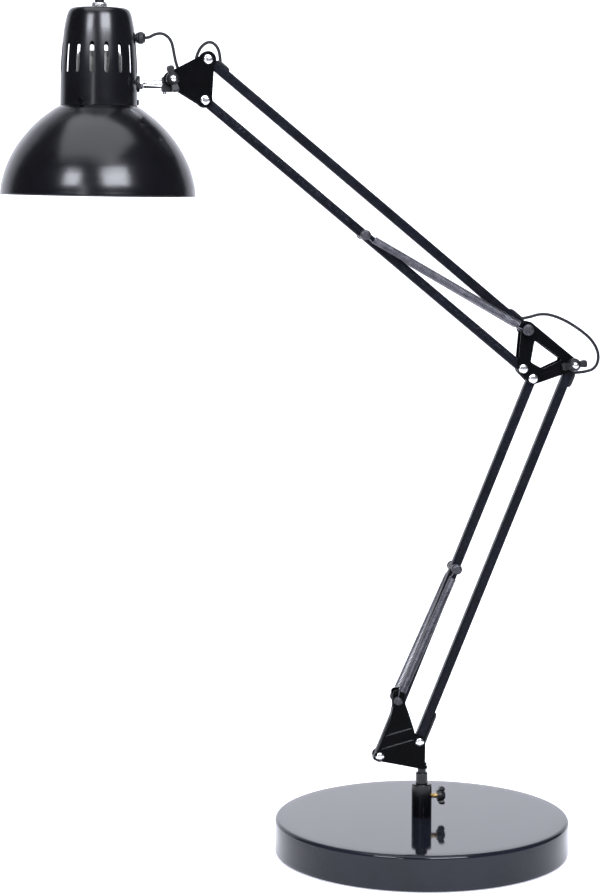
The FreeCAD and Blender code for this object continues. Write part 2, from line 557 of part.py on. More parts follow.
housing = housing.cut(slots + holes + bores)
head["socket_housing"] = solid(housing)
head["housing_screws"] = screws

dome = [
    (30.1, 603.2), (31.6, 602.2), (33.9, 600.9), (36.3, 599.2), (40.9, 595.9), (45.6, 592.1), (49.9, 588.2), (53.6, 584.3), (56.9, 580.4), (59.9, 576.6),
    (62.7, 572.7), (65.1, 568.9), (67.3, 565.0), (69.2, 561.1), (70.9, 557.3), (72.35, 553.4), (73.6, 549.6), (74.6, 545.7), (75.4, 541.9), (75.9, 538.0), (76.2, 533.65),
]
wall = 0.9
inner_dome = []
for i, (r, z) in enumerate(dome):
    a = dome[max(0, i - 1)]
    b = dome[min(len(dome) - 1, i + 1)]
    tx, tz = b[0] - a[0], b[1] - a[1]
    n = math.hypot(tx, tz)
    inner_dome.append((r + wall * tz / n, z - wall * tx / n))
inner_dome[-1] = (dome[-1][0] - wall, dome[-1][1])
outer_pts = [V(head_x + r, 0, z) for r, z in dome]
inner_pts = [V(head_x + r, 0, z) for r, z in inner_dome[1:]]
co = Part.BSplineCurve()
co.interpolate(outer_pts)
ci = Part.BSplineCurve()
ci.interpolate(inner_pts)
top_in = V(head_x + 20.2, 0, dome_top - wall)
top_out = V(head_x + 20.2, 0, dome_top)
loop = [
    co.toShape(),
    Part.LineSegment(outer_pts[-1], inner_pts[-1]).toShape(),
    ci.toShape(),
    Part.LineSegment(inner_pts[0], V(head_x + 29.6, 0, dome_top - wall)).toShape(),
    Part.LineSegment(V(head_x + 29.6, 0, dome_top - wall), top_in).toShape(),
    Part.LineSegment(top_in, top_out).toShape(),
    Part.LineSegment(top_out, outer_pts[0]).toShape(),
]
shade = Part.Face(Part.Wire(Part.__sortEdges__(loop))).revolve(V(head_x, 0, 0), V(0, 0, 1), 360)
head["shade"] = solid(shade)

flange = turned([(20.05, 603.25), (28.9, 603.25), (28.9, 609.0), (27.6, 609.0), (27.6, 604.8), (20.05, 604.8)], (head_x, 0, 0)).cut(bores)
head["holder_flange"] = solid(flange)
holder = turned([(17.5, 597.0), (19.9, 597.0), (19.9, 612.0), (18.6, 614.0), (18.6, 640.0), (15.0, 645.0), (0, 645.0), (0, 640.0), (14.6, 640.0), (14.6, 603.5), (17.5, 603.5)], (head_x, 0, 0))
head["lampholder"] = holder
head["holder_shell"] = turned([(13.75, 608.0), (14.5, 608.0), (14.5, 639.9), (0, 639.9), (0, 639.0), (13.75, 639.0)], (head_x, 0, 0))
head["shade_ring"] = turned([(20.0, 597.6), (24.6, 597.6), (25.4, 598.6), (25.4, 600.6), (24.2, 602.25), (20.0, 602.25)], (head_x, 0, 0))
bulb = [
    (1.5, 638.6), (4.6, 638.4), (5.4, 636.4), (9.0, 634.4), (13.2, 632.6), (13.2, 611.6), (13.0, 608.6), (13.6, 604.4), (15.2, 599.6), (17.8, 594.4), (20.4, 588.8), (22.0, 582.6), (22.5, 577.4),
    (21.9, 571.8), (20.2, 566.6), (17.2, 562.0), (13.2, 558.6), (8.4, 556.3), (4.2, 555.3), (0, 555.0),
    (0, 555.9), (4.0, 556.2), (8.1, 557.2), (12.8, 559.4), (16.6, 562.7), (19.4, 567.1), (21.0, 572.1), (21.6, 577.4), (21.1, 582.4), (19.6, 588.4), (17.0, 594.0), (14.4, 599.3), (12.8, 604.2), (12.1, 608.6),
    (12.3, 611.8), (12.3, 630.6), (4.6, 634.4), (1.5, 635.6),
]
head["bulb"] = turned(bulb, (head_x, 0, 0))
head["stem_rod"] = turned([(0, -236.5), (2.8, -236.5), (2.8, -226.4), (stem_r, -226.4), (stem_r, -204.6), (0, -204.6)], (0, 0, stem_z), "x")
sw = turned([(2.83, 0), (6.4, 0), (6.4, 2.2), (2.83, 2.2)], (-228.9, 0, stem_z), "x")
skin = Part.makeCylinder(29.98, 40, V(head_x, 0, 600))
head["stem_washer"] = solid(sw.cut(skin))
hexa = [V(0, 4.75 * math.cos(math.radians(a)), 4.75 * math.sin(math.radians(a))) for a in range(0, 361, 60)]
nut_o = Part.Face(Part.makePolygon([V(-226.7, q.y, stem_z + q.z) for q in hexa])).extrude(V(2.9, 0, 0))
cone = turned([(0, -0.2), (4.3, -0.2), (4.9, 1.2), (4.9, 1.9), (3.7, 3.1), (0, 3.1)], (-226.7, 0, stem_z), "x")
nut_o = nut_o.common(cone).cut(Part.makeCylinder(2.83, 8, V(-229.0, 0, stem_z), V(1, 0, 0)))
nut_o = nut_o.cut(Part.makeCylinder(stem_r + 0.02, 6, V(-226.4, 0, stem_z), V(1, 0, 0)))
head["stem_nut"] = solid(nut_o)
nut_i = Part.Face(Part.makePolygon([V(-233.4, q.y * 1.15, stem_z + q.z * 1.15) for q in hexa])).extrude(V(3.0, 0, 0)).cut(Part.makeCylinder(2.83, 8, V(-235.0, 0, stem_z), V(1, 0, 0)))
head["stem_locknut"] = solid(nut_i)
gl = turned([(1.45, 0.0), (2.9, 0.0), (2.9, 3.2), (4.0, 3.2), (4.0, 4.6), (4.7, 5.0), (4.7, 8.2), (3.9, 9.0), (3.4, 10.2), (1.45, 10.2)], (-232.8, 0, 656.0), "x")
head["flex_gland"] = solid(gl)
head["switch_body"] = turned([(0, 655.0), (9.6, 655.0), (10.0, 655.6), (10.0, 676.4), (9.0, 677.5), (5.0, 677.5), (5.0, 682.6), (3.75, 682.6), (3.75, 672.0), (0, 672.0)], (head_x, 0, 0))
ringnut = turned([(5.02, 679.02), (5.7, 679.02), (5.95, 679.4), (5.95, 681.6), (5.6, 682.0), (5.02, 682.0)], (head_x, 0, 0))
head["switch_ring_nut"] = ringnut
head["switch_button"] = turned([(0, 675.0), (3.65, 675.0), (3.65, 687.2), (3.3, 688.2), (2.4, 688.8), (0, 689.0)], (head_x, 0, 0))

for name, shape in head.items():
    group = shape if isinstance(shape, list) else [shape]
    moved = []
    for s in group:
        s = s.copy()
        s.rotate(V(P9[0], 0, P9[1]), Y, head_rest_tilt)
        moved.append(s)
    put(name, moved if len(moved) > 1 else moved[0])

for name in sorted(nodes):
    shape = nodes[name]
    bad = [s for s in shape.Solids if not s.isValid()]
    print("%-20s solids %d volume %.1f valid %s" % (name, len(shape.Solids), shape.Volume, shape.isValid() and not bad))
    shape.exportStep("parts/%s.step" % name)
print("nodes", len(nodes), "P3", P3, "P4", P4, "P6", P6, "P7", P7, "P8", P8, "A_low", A_low, "A_up", A_up)
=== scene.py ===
import json
import math

import bpy
import bmesh
from mathutils import Matrix, Vector
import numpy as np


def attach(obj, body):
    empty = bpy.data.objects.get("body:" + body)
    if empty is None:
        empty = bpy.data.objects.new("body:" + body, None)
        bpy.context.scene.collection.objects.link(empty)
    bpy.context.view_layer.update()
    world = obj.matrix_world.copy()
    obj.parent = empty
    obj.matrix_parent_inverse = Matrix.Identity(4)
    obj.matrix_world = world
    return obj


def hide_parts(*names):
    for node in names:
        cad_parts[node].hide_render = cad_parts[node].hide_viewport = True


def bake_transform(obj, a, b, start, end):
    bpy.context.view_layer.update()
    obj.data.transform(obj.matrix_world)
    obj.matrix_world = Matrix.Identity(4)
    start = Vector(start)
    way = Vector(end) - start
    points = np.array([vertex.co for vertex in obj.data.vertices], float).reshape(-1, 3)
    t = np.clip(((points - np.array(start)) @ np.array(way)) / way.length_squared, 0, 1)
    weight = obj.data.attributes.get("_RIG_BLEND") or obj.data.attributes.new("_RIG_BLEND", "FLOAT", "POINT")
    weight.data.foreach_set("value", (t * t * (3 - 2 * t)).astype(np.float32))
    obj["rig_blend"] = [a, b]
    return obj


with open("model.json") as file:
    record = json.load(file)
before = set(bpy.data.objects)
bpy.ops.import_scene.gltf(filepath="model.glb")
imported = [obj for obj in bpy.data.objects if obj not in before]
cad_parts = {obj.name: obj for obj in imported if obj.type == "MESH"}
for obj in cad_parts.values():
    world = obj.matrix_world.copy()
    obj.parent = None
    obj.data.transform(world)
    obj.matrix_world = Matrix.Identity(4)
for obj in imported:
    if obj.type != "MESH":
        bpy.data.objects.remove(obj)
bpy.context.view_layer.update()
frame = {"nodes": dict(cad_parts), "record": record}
nodes = frame["nodes"]
MM = 0.001

# ---------------------------------------------------------------- the lamp's own dimensions, in millimetres
LEAN, RISE = math.radians(22.07), math.radians(39.75)
U1 = (math.sin(LEAN), math.cos(LEAN))
U2 = (-math.cos(RISE), math.sin(RISE))
B1, B2 = (-U1[0], -U1[1]), (-U2[0], -U2[1])
LOWER, UPPER = 330.6, 333.2


def at(p, d, t, n=0.0):
    return (p[0] + d[0] * t + d[1] * n, p[1] + d[1] * t - d[0] * n)


P1, P2, P5, P9 = (-35.9, 81.1), (-3.15, 92.0), (80.2, 395.6), (-201.5, 624.8)
P3, P4 = at(P1, U1, LOWER), at(P2, U1, LOWER)
P6 = (82.7, 427.1)
P7, P8 = at(P5, U2, UPPER), at(P6, U2, UPPER)
A_LOW, A_UP = at(P1, U1, 165.0), at(P5, U2, 168.6)
EAR = (-21.6, 127.1)
HEAD_X = -258.2
TILT = math.radians(0.95)
SPRING_Y = 9.2


def tipped(x, z):
    dx, dz = x - P9[0], z - P9[1]
    return (P9[0] + dx * math.cos(TILT) + dz * math.sin(TILT), P9[1] - dx * math.sin(TILT) + dz * math.cos(TILT))


HEAD_TURN = Matrix.Translation(Vector((P9[0], 0, P9[1])) * MM) @ Matrix.Rotation(TILT, 4, "Y") @ Matrix.Translation(Vector((P9[0], 0, P9[1])) * -MM)

# ---------------------------------------------------------------- materials
MATS = {}


def ramp(tree, fac, stops):
    n = tree.nodes.new("ShaderNodeValToRGB")
    els = n.color_ramp.elements
    while len(els) < len(stops):
        els.new(0.5)
    for el, (p, c) in zip(els, stops):
        el.position = p
        el.color = (c[0], c[1], c[2], 1) if isinstance(c, (tuple, list)) else (c, c, c, 1)
    tree.links.new(fac, n.inputs["Fac"])
    return n


def noise(tree, coord, scale, detail=4.0, rough=0.5, stretch=None):
    src = coord
    if stretch:
        m = tree.nodes.new("ShaderNodeMapping")
        m.inputs["Scale"].default_value = stretch
        tree.links.new(coord, m.inputs["Vector"])
        src = m.outputs["Vector"]
    n = tree.nodes.new("ShaderNodeTexNoise")
    n.inputs["Scale"].default_value = scale
    n.inputs["Detail"].default_value = detail
    n.inputs["Roughness"].default_value = rough
    tree.links.new(src, n.inputs["Vector"])
    return n.outputs["Fac"]


def material(name, lo, hi, rough, metallic=0.0, scale=60.0, rough_scale=220.0, bumps=((900.0, 0.02, None),), coat=0.0, coat_rough=0.05, ior=1.5, spec=0.5, sheen=0.0, edge=None, stretch=None, transmission=0.0, aniso=0.0, subsurface=0.0):
    """Principled material with mottled colour, uneven roughness, layered bump and an optional painted highlight on
    sharp edges.
    """
    m = bpy.data.materials.new(name)
    m.use_nodes = True
    t = m.node_tree
    b = t.nodes["Principled BSDF"]
    b.inputs["Metallic"].default_value = metallic
    b.inputs["IOR"].default_value = ior
    b.inputs["Specular IOR Level"].default_value = spec
    b.inputs["Coat Weight"].default_value = coat
    b.inputs["Coat Roughness"].default_value = coat_rough
    b.inputs["Sheen Weight"].default_value = sheen
    b.inputs["Anisotropic"].default_value = aniso
    b.inputs["Transmission Weight"].default_value = transmission
    b.inputs["Subsurface Weight"].default_value = subsurface
    tc = t.nodes.new("ShaderNodeTexCoord")
    coord = tc.outputs["Object"]
    big = noise(t, coord, scale, 5.0, 0.55, stretch)
    col = ramp(t, big, [(0.3, lo), (0.7, hi)])
    colour = col.outputs["Color"]
    # Where edge is given, sharp edges (high pointiness), broken up by noise, are painted lighter in that colour: a
    # painted edge highlight.
    if edge:
        geo = t.nodes.new("ShaderNodeNewGeometry")
        edge_highlight_ramp = ramp(t, geo.outputs["Pointiness"], [(0.52, 0.0), (0.60, 1.0)])
        edge_highlight_breakup = noise(t, coord, 700.0, 6.0, 0.7)
        edge_highlight_mask = ramp(t, edge_highlight_breakup, [(0.5, 0.0), (0.66, 1.0)])
        mul = t.nodes.new("ShaderNodeMath")
        mul.operation = "MULTIPLY"
        t.links.new(edge_highlight_ramp.outputs["Color"], mul.inputs[0])
        t.links.new(edge_highlight_mask.outputs["Color"], mul.inputs[1])
        mix = t.nodes.new("ShaderNodeMix")
        mix.data_type = "RGBA"
        t.links.new(mul.outputs[0], mix.inputs["Factor"])
        t.links.new(colour, mix.inputs["A"])
        mix.inputs["B"].default_value = (edge[0], edge[1], edge[2], 1)
        colour = mix.outputs["Result"]
    t.links.new(colour, b.inputs["Base Color"])
    rn = noise(t, coord, rough_scale, 6.0, 0.6, stretch)
    rr = ramp(t, rn, [(0.25, rough[0]), (0.75, rough[1])])
    t.links.new(rr.outputs["Color"], b.inputs["Roughness"])
    normal = None
    for bscale, strength, bstretch in bumps:
        h = noise(t, coord, bscale, 3.0, 0.5, bstretch)
        bn = t.nodes.new("ShaderNodeBump")
        bn.inputs["Strength"].default_value = strength
        bn.inputs["Distance"].default_value = 0.0004
        t.links.new(h, bn.inputs["Height"])
        if normal is not None:
            t.links.new(normal, bn.inputs["Normal"])
        normal = bn.outputs["Normal"]
    if normal is not None:
        t.links.new(normal, b.inputs["Normal"])
    MATS[name] = m
    return m


# The edge colours given below are painted highlights laid on sharp edges.
material("base_enamel", (0.006, 0.007, 0.011), (0.010, 0.011, 0.017), (0.04, 0.09), scale=18, rough_scale=55, bumps=((260.0, 0.03, None), (1400.0, 0.012, None)), ior=1.5, spec=0.25, edge=(0.03, 0.03, 0.035))
material("shade_enamel", (0.0015, 0.0015, 0.0024), (0.003, 0.003, 0.0045), (0.19, 0.25), scale=25, rough_scale=70, bumps=((300.0, 0.04, None), (1500.0, 0.02, None)), coat=0.0, coat_rough=0.22, spec=0.42, edge=(0.03, 0.03, 0.035))
material("shade_white", (0.74, 0.735, 0.715), (0.82, 0.815, 0.80), (0.32, 0.45), scale=30, rough_scale=120, bumps=((420.0, 0.05, None),))
material("gloss_black", (0.0015, 0.0015, 0.0022), (0.003, 0.003, 0.004), (0.14, 0.22), scale=30, rough_scale=90, bumps=((420.0, 0.05, None),), spec=0.35, edge=(0.05, 0.05, 0.055))
material("tube_paint", (0.002, 0.0022, 0.004), (0.004, 0.0045, 0.008), (0.26, 0.38), scale=45, rough_scale=160, bumps=((600.0, 0.08, None), (2400.0, 0.03, None)), spec=0.08, edge=(0.03, 0.032, 0.04))
material("bracket_paint", (0.0012, 0.0012, 0.0016), (0.0026, 0.0026, 0.0032), (0.26, 0.38), scale=45, rough_scale=160, bumps=((520.0, 0.10, None), (2200.0, 0.04, None)), spec=0.03)
material("nickel", (0.66, 0.66, 0.68), (0.80, 0.80, 0.82), (0.16, 0.28), metallic=1.0, scale=300, rough_scale=500, bumps=((1500.0, 0.06, None),))
material("chrome", (0.80, 0.81, 0.83), (0.88, 0.89, 0.91), (0.05, 0.13), metallic=1.0, scale=200, rough_scale=700, bumps=((1600.0, 0.02, (6.0, 1.0, 1.0)),), stretch=(4.0, 1.0, 1.0))
material("zinc", (0.42, 0.43, 0.45), (0.62, 0.63, 0.64), (0.28, 0.45), metallic=1.0, scale=260, rough_scale=600, bumps=((1500.0, 0.10, None),))
material("anchor_grey", (0.035, 0.035, 0.040), (0.075, 0.075, 0.082), (0.34, 0.50), metallic=1.0, scale=350, rough_scale=600, bumps=((1200.0, 0.12, None),))
material("spring_steel", (0.07, 0.07, 0.082), (0.20, 0.20, 0.225), (0.22, 0.38), metallic=1.0, scale=160, rough_scale=500, bumps=((2600.0, 0.08, None),))
material("brass", (0.52, 0.38, 0.16), (0.70, 0.54, 0.27), (0.20, 0.36), metallic=1.0, scale=240, rough_scale=420, bumps=((1500.0, 0.08, None),))
material("black_plastic", (0.004, 0.004, 0.005), (0.008, 0.008, 0.009), (0.30, 0.44), scale=120, rough_scale=300, bumps=((1600.0, 0.14, None), (5000.0, 0.06, None)), spec=0.3)
material("nylon", (0.008, 0.008, 0.009), (0.016, 0.016, 0.017), (0.40, 0.55), scale=160, bumps=((1500.0, 0.08, None),), spec=0.3)
material("porcelain", (0.70, 0.69, 0.65), (0.80, 0.79, 0.75), (0.14, 0.26), scale=70, bumps=((500.0, 0.05, None),), coat=0.4, coat_rough=0.08)
material("flex_sheath", (0.004, 0.004, 0.0045), (0.008, 0.008, 0.009), (0.34, 0.48), scale=220, rough_scale=400, bumps=((2600.0, 0.10, None),), spec=0.25)
material("iron", (0.05, 0.05, 0.052), (0.10, 0.10, 0.10), (0.62, 0.82), metallic=0.4, scale=60, bumps=((240.0, 0.5, None), (900.0, 0.3, None)))
material("felt", (0.012, 0.012, 0.012), (0.028, 0.028, 0.028), (0.85, 0.97), scale=420, bumps=((1500.0, 0.7, None), (3800.0, 0.5, None)), sheen=0.4, spec=0.2)
material("opal", (0.80, 0.795, 0.77), (0.86, 0.855, 0.83), (0.10, 0.17), scale=24, bumps=((200.0, 0.02, None),), transmission=0.15, subsurface=0.25, coat=0.3)

SLOT_MAT = {
    "base_enamel": "base_enamel", "iron": "iron", "felt": "felt", "gloss_black": "gloss_black", "zinc_steel": "zinc", "brass": "brass", "black_plastic": "black_plastic",
    "bracket_black": "bracket_paint", "bright_steel": "nickel", "nylon": "nylon", "anchor_grey": "anchor_grey", "tube_black": "tube_paint", "flex_black": "flex_sheath",
    "spring_steel": "spring_steel", "shade_inside": "shade_enamel", "porcelain": "porcelain", "contact_brass": "brass", "bulb_glass": "opal",
}
SLOT_OF = {s["node"]: s["material_slot"] for s in frame["record"]["subparts"]}
BODY_OF = {}
for body_name, members in frame["record"]["behaviour"]["bodies"].items():
    for member in members:
        BODY_OF[member] = body_name


# ---------------------------------------------------------------- mesh helpers
def make(name, verts, faces, mats, smooth=True, sharp=38.0, unit=MM):
    me = bpy.data.meshes.new(name)
    me.from_pydata([tuple(c * unit for c in v) for v in verts], [], faces)
    me.validate()
    bm = bmesh.new()
    bm.from_mesh(me)
    bmesh.ops.recalc_face_normals(bm, faces=bm.faces)
    bm.to_mesh(me)
    bm.free()
    o = bpy.data.objects.new(name, me)
    bpy.context.scene.collection.objects.link(o)
    for m in mats if isinstance(mats, (list, tuple)) else [mats]:
        me.materials.append(MATS[m])
    if smooth:
        me.shade_smooth()
        me.set_sharp_from_angle(angle=math.radians(sharp))
    return o


def settle(o):
    """Applies an object's modifiers, so that the mesh is final."""
    dg = bpy.context.evaluated_depsgraph_get()
    me = bpy.data.meshes.new_from_object(o.evaluated_get(dg), preserve_all_data_layers=True, depsgraph=dg)
    old = o.data
    o.modifiers.clear()
    o.data = me
    me.name = o.name
    bpy.data.meshes.remove(old)
    return o


def lathe(profile, base=(0, 0, 0), axis="z", segs=96, closed=False, wave=None):
    """Verts and faces of (radius, height) points turned about an axis; wave(angle, radius, height) may scale the radius."""
    verts, rings, faces = [], [], []
    for r, h in profile:
        if r < 1e-6:
            rings.append([len(verts)])
            ring = [(0.0, 0.0)]
        else:
            rings.append(list(range(len(verts), len(verts) + segs)))
            ring = []
            for k in range(segs):
                a = 2 * math.pi * k / segs
                rr = r * (wave(a, r, h) if wave else 1.0)
                ring.append((rr * math.cos(a), rr * math.sin(a)))
        for p, q in ring:
            if axis == "z":
                verts.append((base[0] + p, base[1] + q, base[2] + h))
            elif axis == "y":
                verts.append((base[0] + p, base[1] + h, base[2] + q))
            else:
                verts.append((base[0] + h, base[1] + p, base[2] + q))
    pairs = list(zip(rings, rings[1:]))
    if closed:
        pairs.append((rings[-1], rings[0]))
    for a, b in pairs:
        if len(a) == 1 and len(b) == 1:
            continue
        for k in range(segs):
            k2 = (k + 1) % segs
            if len(a) == 1:
                faces.append((a[0], b[k], b[k2]))
            elif len(b) == 1:
                faces.append((a[k], b[0], a[k2]))
            else:
                faces.append((a[k], b[k], b[k2], a[k2]))
    return verts, faces


def soften(profile, r, closed=False, steps=3):
    """Rounds the corners of a turned profile by up to r."""
    n = len(profile)
    out = []
    for i, p in enumerate(profile):
        if not closed and i in (0, n - 1):
            out.append(p)
            continue
        a, b = profile[i - 1], profile[(i + 1) % n]
        la, lb = math.dist(a, p), math.dist(b, p)
        if la < 1e-6 or lb < 1e-6:
            continue
        cut = min(r, 0.45 * la, 0.45 * lb)
        s = (p[0] + (a[0] - p[0]) * cut / la, p[1] + (a[1] - p[1]) * cut / la)
        e = (p[0] + (b[0] - p[0]) * cut / lb, p[1] + (b[1] - p[1]) * cut / lb)
        for k in range(steps + 1):
            t = k / steps
            out.append(tuple((1 - t) ** 2 * s[j] + 2 * t * (1 - t) * p[j] + t * t * e[j] for j in (0, 1)))
    return out


def group(parts):
    """Joins several (verts, faces) into one."""
    verts, faces = [], []
    for v, f in parts:
        k = len(verts)
        verts += v
        faces += [tuple(i + k for i in q) for q in f]
    return verts, faces


def dress(o, node, body=None):
    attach(o, body or BODY_OF[node])
    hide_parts(node)
    return o


def tilt_head(o):
    o.data.transform(HEAD_TURN)
    return o


def refined(node, mat, bevel=0.2, segs=2, angle=32.0, name=None):
    """A detailed copy of a CAD node: welded, its flats made whole, its edges rounded and its normals weighted."""
    src = nodes[node]
    me = src.data.copy()
    o = bpy.data.objects.new(name or node + "_fine", me)
    bpy.context.scene.collection.objects.link(o)
    bm = bmesh.new()
    bm.from_mesh(me)
    bmesh.ops.remove_doubles(bm, verts=bm.verts, dist=2e-6)
    bmesh.ops.dissolve_limit(bm, angle_limit=math.radians(0.6), verts=bm.verts, edges=bm.edges)
    bm.to_mesh(me)
    bm.free()
    me.materials.clear()
    me.materials.append(MATS[mat])
    me.shade_smooth()
    if bevel:
        bv = o.modifiers.new("bevel", "BEVEL")
        bv.width = bevel * MM
        bv.segments = segs
        bv.limit_method = "ANGLE"
        bv.angle_limit = math.radians(angle)
        bv.use_clamp_overlap = True
        bv.harden_normals = True
    wn = o.modifiers.new("normals", "WEIGHTED_NORMAL")
    wn.keep_sharp = True
    return settle(o)


def moulded(node, mat, voxel=0.22, iterations=6, name=None):
    """A detailed copy of a CAD node with soft moulded edges."""
    me = nodes[node].data.copy()
    o = bpy.data.objects.new(name or node + "_fine", me)
    bpy.context.scene.collection.objects.link(o)
    bm = bmesh.new()
    bm.from_mesh(me)
    bmesh.ops.remove_doubles(bm, verts=bm.verts, dist=2e-6)
    bm.to_mesh(me)
    bm.free()
    me.materials.clear()
    me.materials.append(MATS[mat])
    rm = o.modifiers.new("remesh", "REMESH")
    rm.mode = "VOXEL"
    rm.voxel_size = voxel * MM
    rm.use_smooth_shade = True
    sm = o.modifiers.new("smooth", "SMOOTH")
    sm.factor = 0.5
    sm.iterations = iterations
    settle(o)
    o.data.shade_smooth()
    return o


def tube(points, outline, name, mat, up=(0, 1, 0), unit=MM):
    """Sweeps a closed outline [(u, v)] along points; u lies along the side direction, v along up. Ends are closed."""
    pts = [Vector(p) for p in points]
    n, m = len(pts), len(outline)
    verts, faces = [], []
    side = None
    for i, p in enumerate(pts):
        t = (pts[min(i + 1, n - 1)] - pts[max(i - 1, 0)]).normalized()
        if side is None:
            side = Vector(up).cross(t)
            if side.length < 1e-6:
                side = t.orthogonal()
        side = (side - t * side.dot(t)).normalized()
        u2 = t.cross(side)
        for u, v in outline:
            q = p + side * u + u2 * v
            verts.append(tuple(q))
    for i in range(n - 1):
        for k in range(m):
            k2 = (k + 1) % m
            faces.append((i * m + k, i * m + k2, (i + 1) * m + k2, (i + 1) * m + k))
    faces.append(tuple(range(m)))
    faces.append(tuple((n - 1) * m + k for k in range(m)))
    return make(name, verts, faces, mat, unit=unit)


def circle(r, n=12):
    return [(r * math.cos(2 * math.pi * k / n), r * math.sin(2 * math.pi * k / n)) for k in range(n)]


def weights(o, a, b, start, end, fn):
    """Bends a piece between two bodies, with the share that follows b at each rest point given by fn(point in mm)."""
    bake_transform(o, a, b, start=tuple(c * MM for c in start), end=tuple(c * MM for c in end))
    data = o.data.attributes["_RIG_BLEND"].data
    for i, v in enumerate(o.data.vertices):
        data[i].value = max(0.0, min(1.0, fn(v.co / MM)))
    return o


# ---------------------------------------------------------------- base
R = 120.0
edge = [(R - 3 + 3 * math.sin(math.radians(a)), 26 + 3 * math.cos(math.radians(a))) for a in range(0, 91, 9)]
flow = []
for i in range(15):
    r = 12.0 + (R - 3 - 12.0) * i / 14
    flow.append((r, 29.0))
cover_prof = [(6.2, 27.8), (6.2, 29.0), (9.0, 29.0)] + flow + edge[1:] + [(R, 20.0), (R, 12.0), (R, 4.0), (R, 1.7), (R - 0.25, 1.0), (R - 0.9, 0.8), (R - 1.2, 1.2), (R - 1.2, 14.0), (R - 1.2, 26.0), (R - 2.0, 27.4), (R - 4, 27.8), (60, 27.8)]
v, f = lathe(cover_prof, segs=288, closed=True)
dress(make("base_cover_fine", v, f, "base_enamel", sharp=50), "base_cover")

pad_prof = soften([(0, 0), (R - 2.2, 0), (R - 1.5, 0.7), (R - 1.5, 3.6), (0, 3.6)], 0.5)
v, f = lathe([pad_prof[0]] + [(r, 0.0) for r in range(12, 114, 12)] + pad_prof[1:], segs=160)
dress(make("base_pad_fine", v, f, "felt", sharp=50), "base_pad")

PR = 4.95
sock = soften([(PR, 56.4), (7.6, 56.4), (8.2, 55.8), (8.2, 29.0), (6.0, 29.0), (6.0, 8.4), (0.0, 8.4)], 0.35)
inner_sock = [(0.0, 31.5), (PR, 31.5)]
v, f = lathe([(PR, 31.5), (PR, 44.0), (PR, 55.8)] + sock[0:1] + sock[1:] + [(0.0, 8.4)] * 0, segs=96)
v2, f2 = lathe([(0.0, 31.5), (PR, 31.5)], segs=96)
collar_v, collar_f = lathe(soften([(8.15, 29.02), (9.6, 29.02), (9.6, 29.5), (8.9, 30.1), (8.15, 30.3)], 0.3, closed=True), segs=96, closed=True)
socket = make("base_socket_fine", *group([(v, f), (v2, f2)]), "gloss_black", sharp=40)
dress(socket, "base_socket")
for n in ("ballast_disc", "socket_nut"):
    pass

# ---------------------------------------------------------------- clamp screw with its thread, and its wing head
def threaded(r, length, pitch, depth, base, axis, lead=0.8, segs=36, start_flat=0.0):
    """A threaded shank: rings whose radius follows a helix, chamfered at both ends."""
    rows = int(length / (pitch / 8))
    verts, faces = [], []
    for i in range(rows + 1):
        h = length * i / rows
        for k in range(segs):
            a = 2 * math.pi * k / segs
            ph = (h / pitch + a / (2 * math.pi)) % 1.0
            tri = abs(2 * ph - 1)
            fade = 0.0 if h < start_flat else min(1.0, (h - start_flat) / pitch)
            rr = r - depth * tri * fade
            rr = min(rr, r - lead + h * 1.0 if h < lead else rr, r - lead + (length - h) if length - h < lead else rr)
            p, q = rr * math.cos(a), rr * math.sin(a)
            if axis == "x":
                verts.append((base[0] + h, base[1] + p, base[2] + q))
            elif axis == "-y":
                verts.append((base[0] + p, base[1] - h, base[2] + q))
            else:
                verts.append((base[0] + p, base[1] + q, base[2] + h))
    for i in range(rows):
        for k in range(segs):
            k2 = (k + 1) % segs
            faces.append((i * segs + k, i * segs + k2, (i + 1) * segs + k2, (i + 1) * segs + k))
    faces.append(tuple(range(segs)))
    faces.append(tuple(rows * segs + k for k in range(segs)))
    return verts, faces


v, f = threaded(2.05, 13.4, 0.7, 0.32, (5.25, 0, 45.6), "x", lead=0.35)
dress(make("clamp_screw_fine", v, f, "brass", sharp=60), "clamp_screw")
dress(moulded("clamp_wing", "black_plastic", 0.2, 7), "clamp_wing")

# ---------------------------------------------------------------- post and lower bracket
post = soften([(0, 32.0), (4.1, 32.0), (4.9, 32.8), (4.9, 65.2), (4.4, 65.8), (3.5, 65.8), (3.5, 69.3), (2.6, 69.3), (2.6, 72.05), (4.2, 72.05), (4.0, 73.2), (2.8, 73.8), (0, 74.0)], 0.25)
v, f = lathe(post, segs=72)
dress(make("swivel_post_fine", v, f, "gloss_black", sharp=40), "swivel_post")
dress(refined("lower_bracket", "bracket_paint", 0.28, 3, 26), "lower_bracket")


def fold_bead(side, origin, s0, s1, y_face):
    """A pressed bead along a cheek's fold, tapered at both ends."""
    d, u = (math.cos(math.radians(14.5)), math.sin(math.radians(14.5))), (-math.sin(math.radians(14.5)), math.cos(math.radians(14.5)))
    steps, arc = 28, 10
    v, f = [], []
    for i in range(steps + 1):
        s = s0 + (s1 - s0) * i / steps
        grow = min(1.0, min(i, steps - i) / 4.0)
        wid, high = 0.35 + 0.40 * grow, 0.34 * math.sin(grow * math.pi / 2)
        for k in range(arc + 1):
            t = math.pi * k / arc
            q, h = wid * math.cos(t), high * math.sin(t) - 0.16 * (1 if k in (0, arc) else 0)
            v.append((origin[0] + d[0] * s + u[0] * q, side * (y_face + h), origin[1] + d[1] * s + u[1] * q))
    w = arc + 1
    for i in range(steps):
        for k in range(arc):
            f.append((i * w + k, i * w + k + 1, (i + 1) * w + k + 1, (i + 1) * w + k))
        f.append((i * w + arc, i * w, (i + 1) * w, (i + 1) * w + arc))
    f.append(tuple(range(w)))
    f.append(tuple(steps * w + k for k in range(w)))
    return v, f


beads = [fold_bead(side, o, s0, s1, y) for side in (-1, 1) for o, s0, s1, y in (((-25.66, 99.24), -5.6, 17.0, 5.8), ((-23.32, 90.19), -11.5, 15.6, 6.8))]
# The beads take gloss_black, so their sharp edges carry its painted edge highlight.
dress(make("lower_bracket_beads", *group(beads), "gloss_black", sharp=50), "lower_bracket")


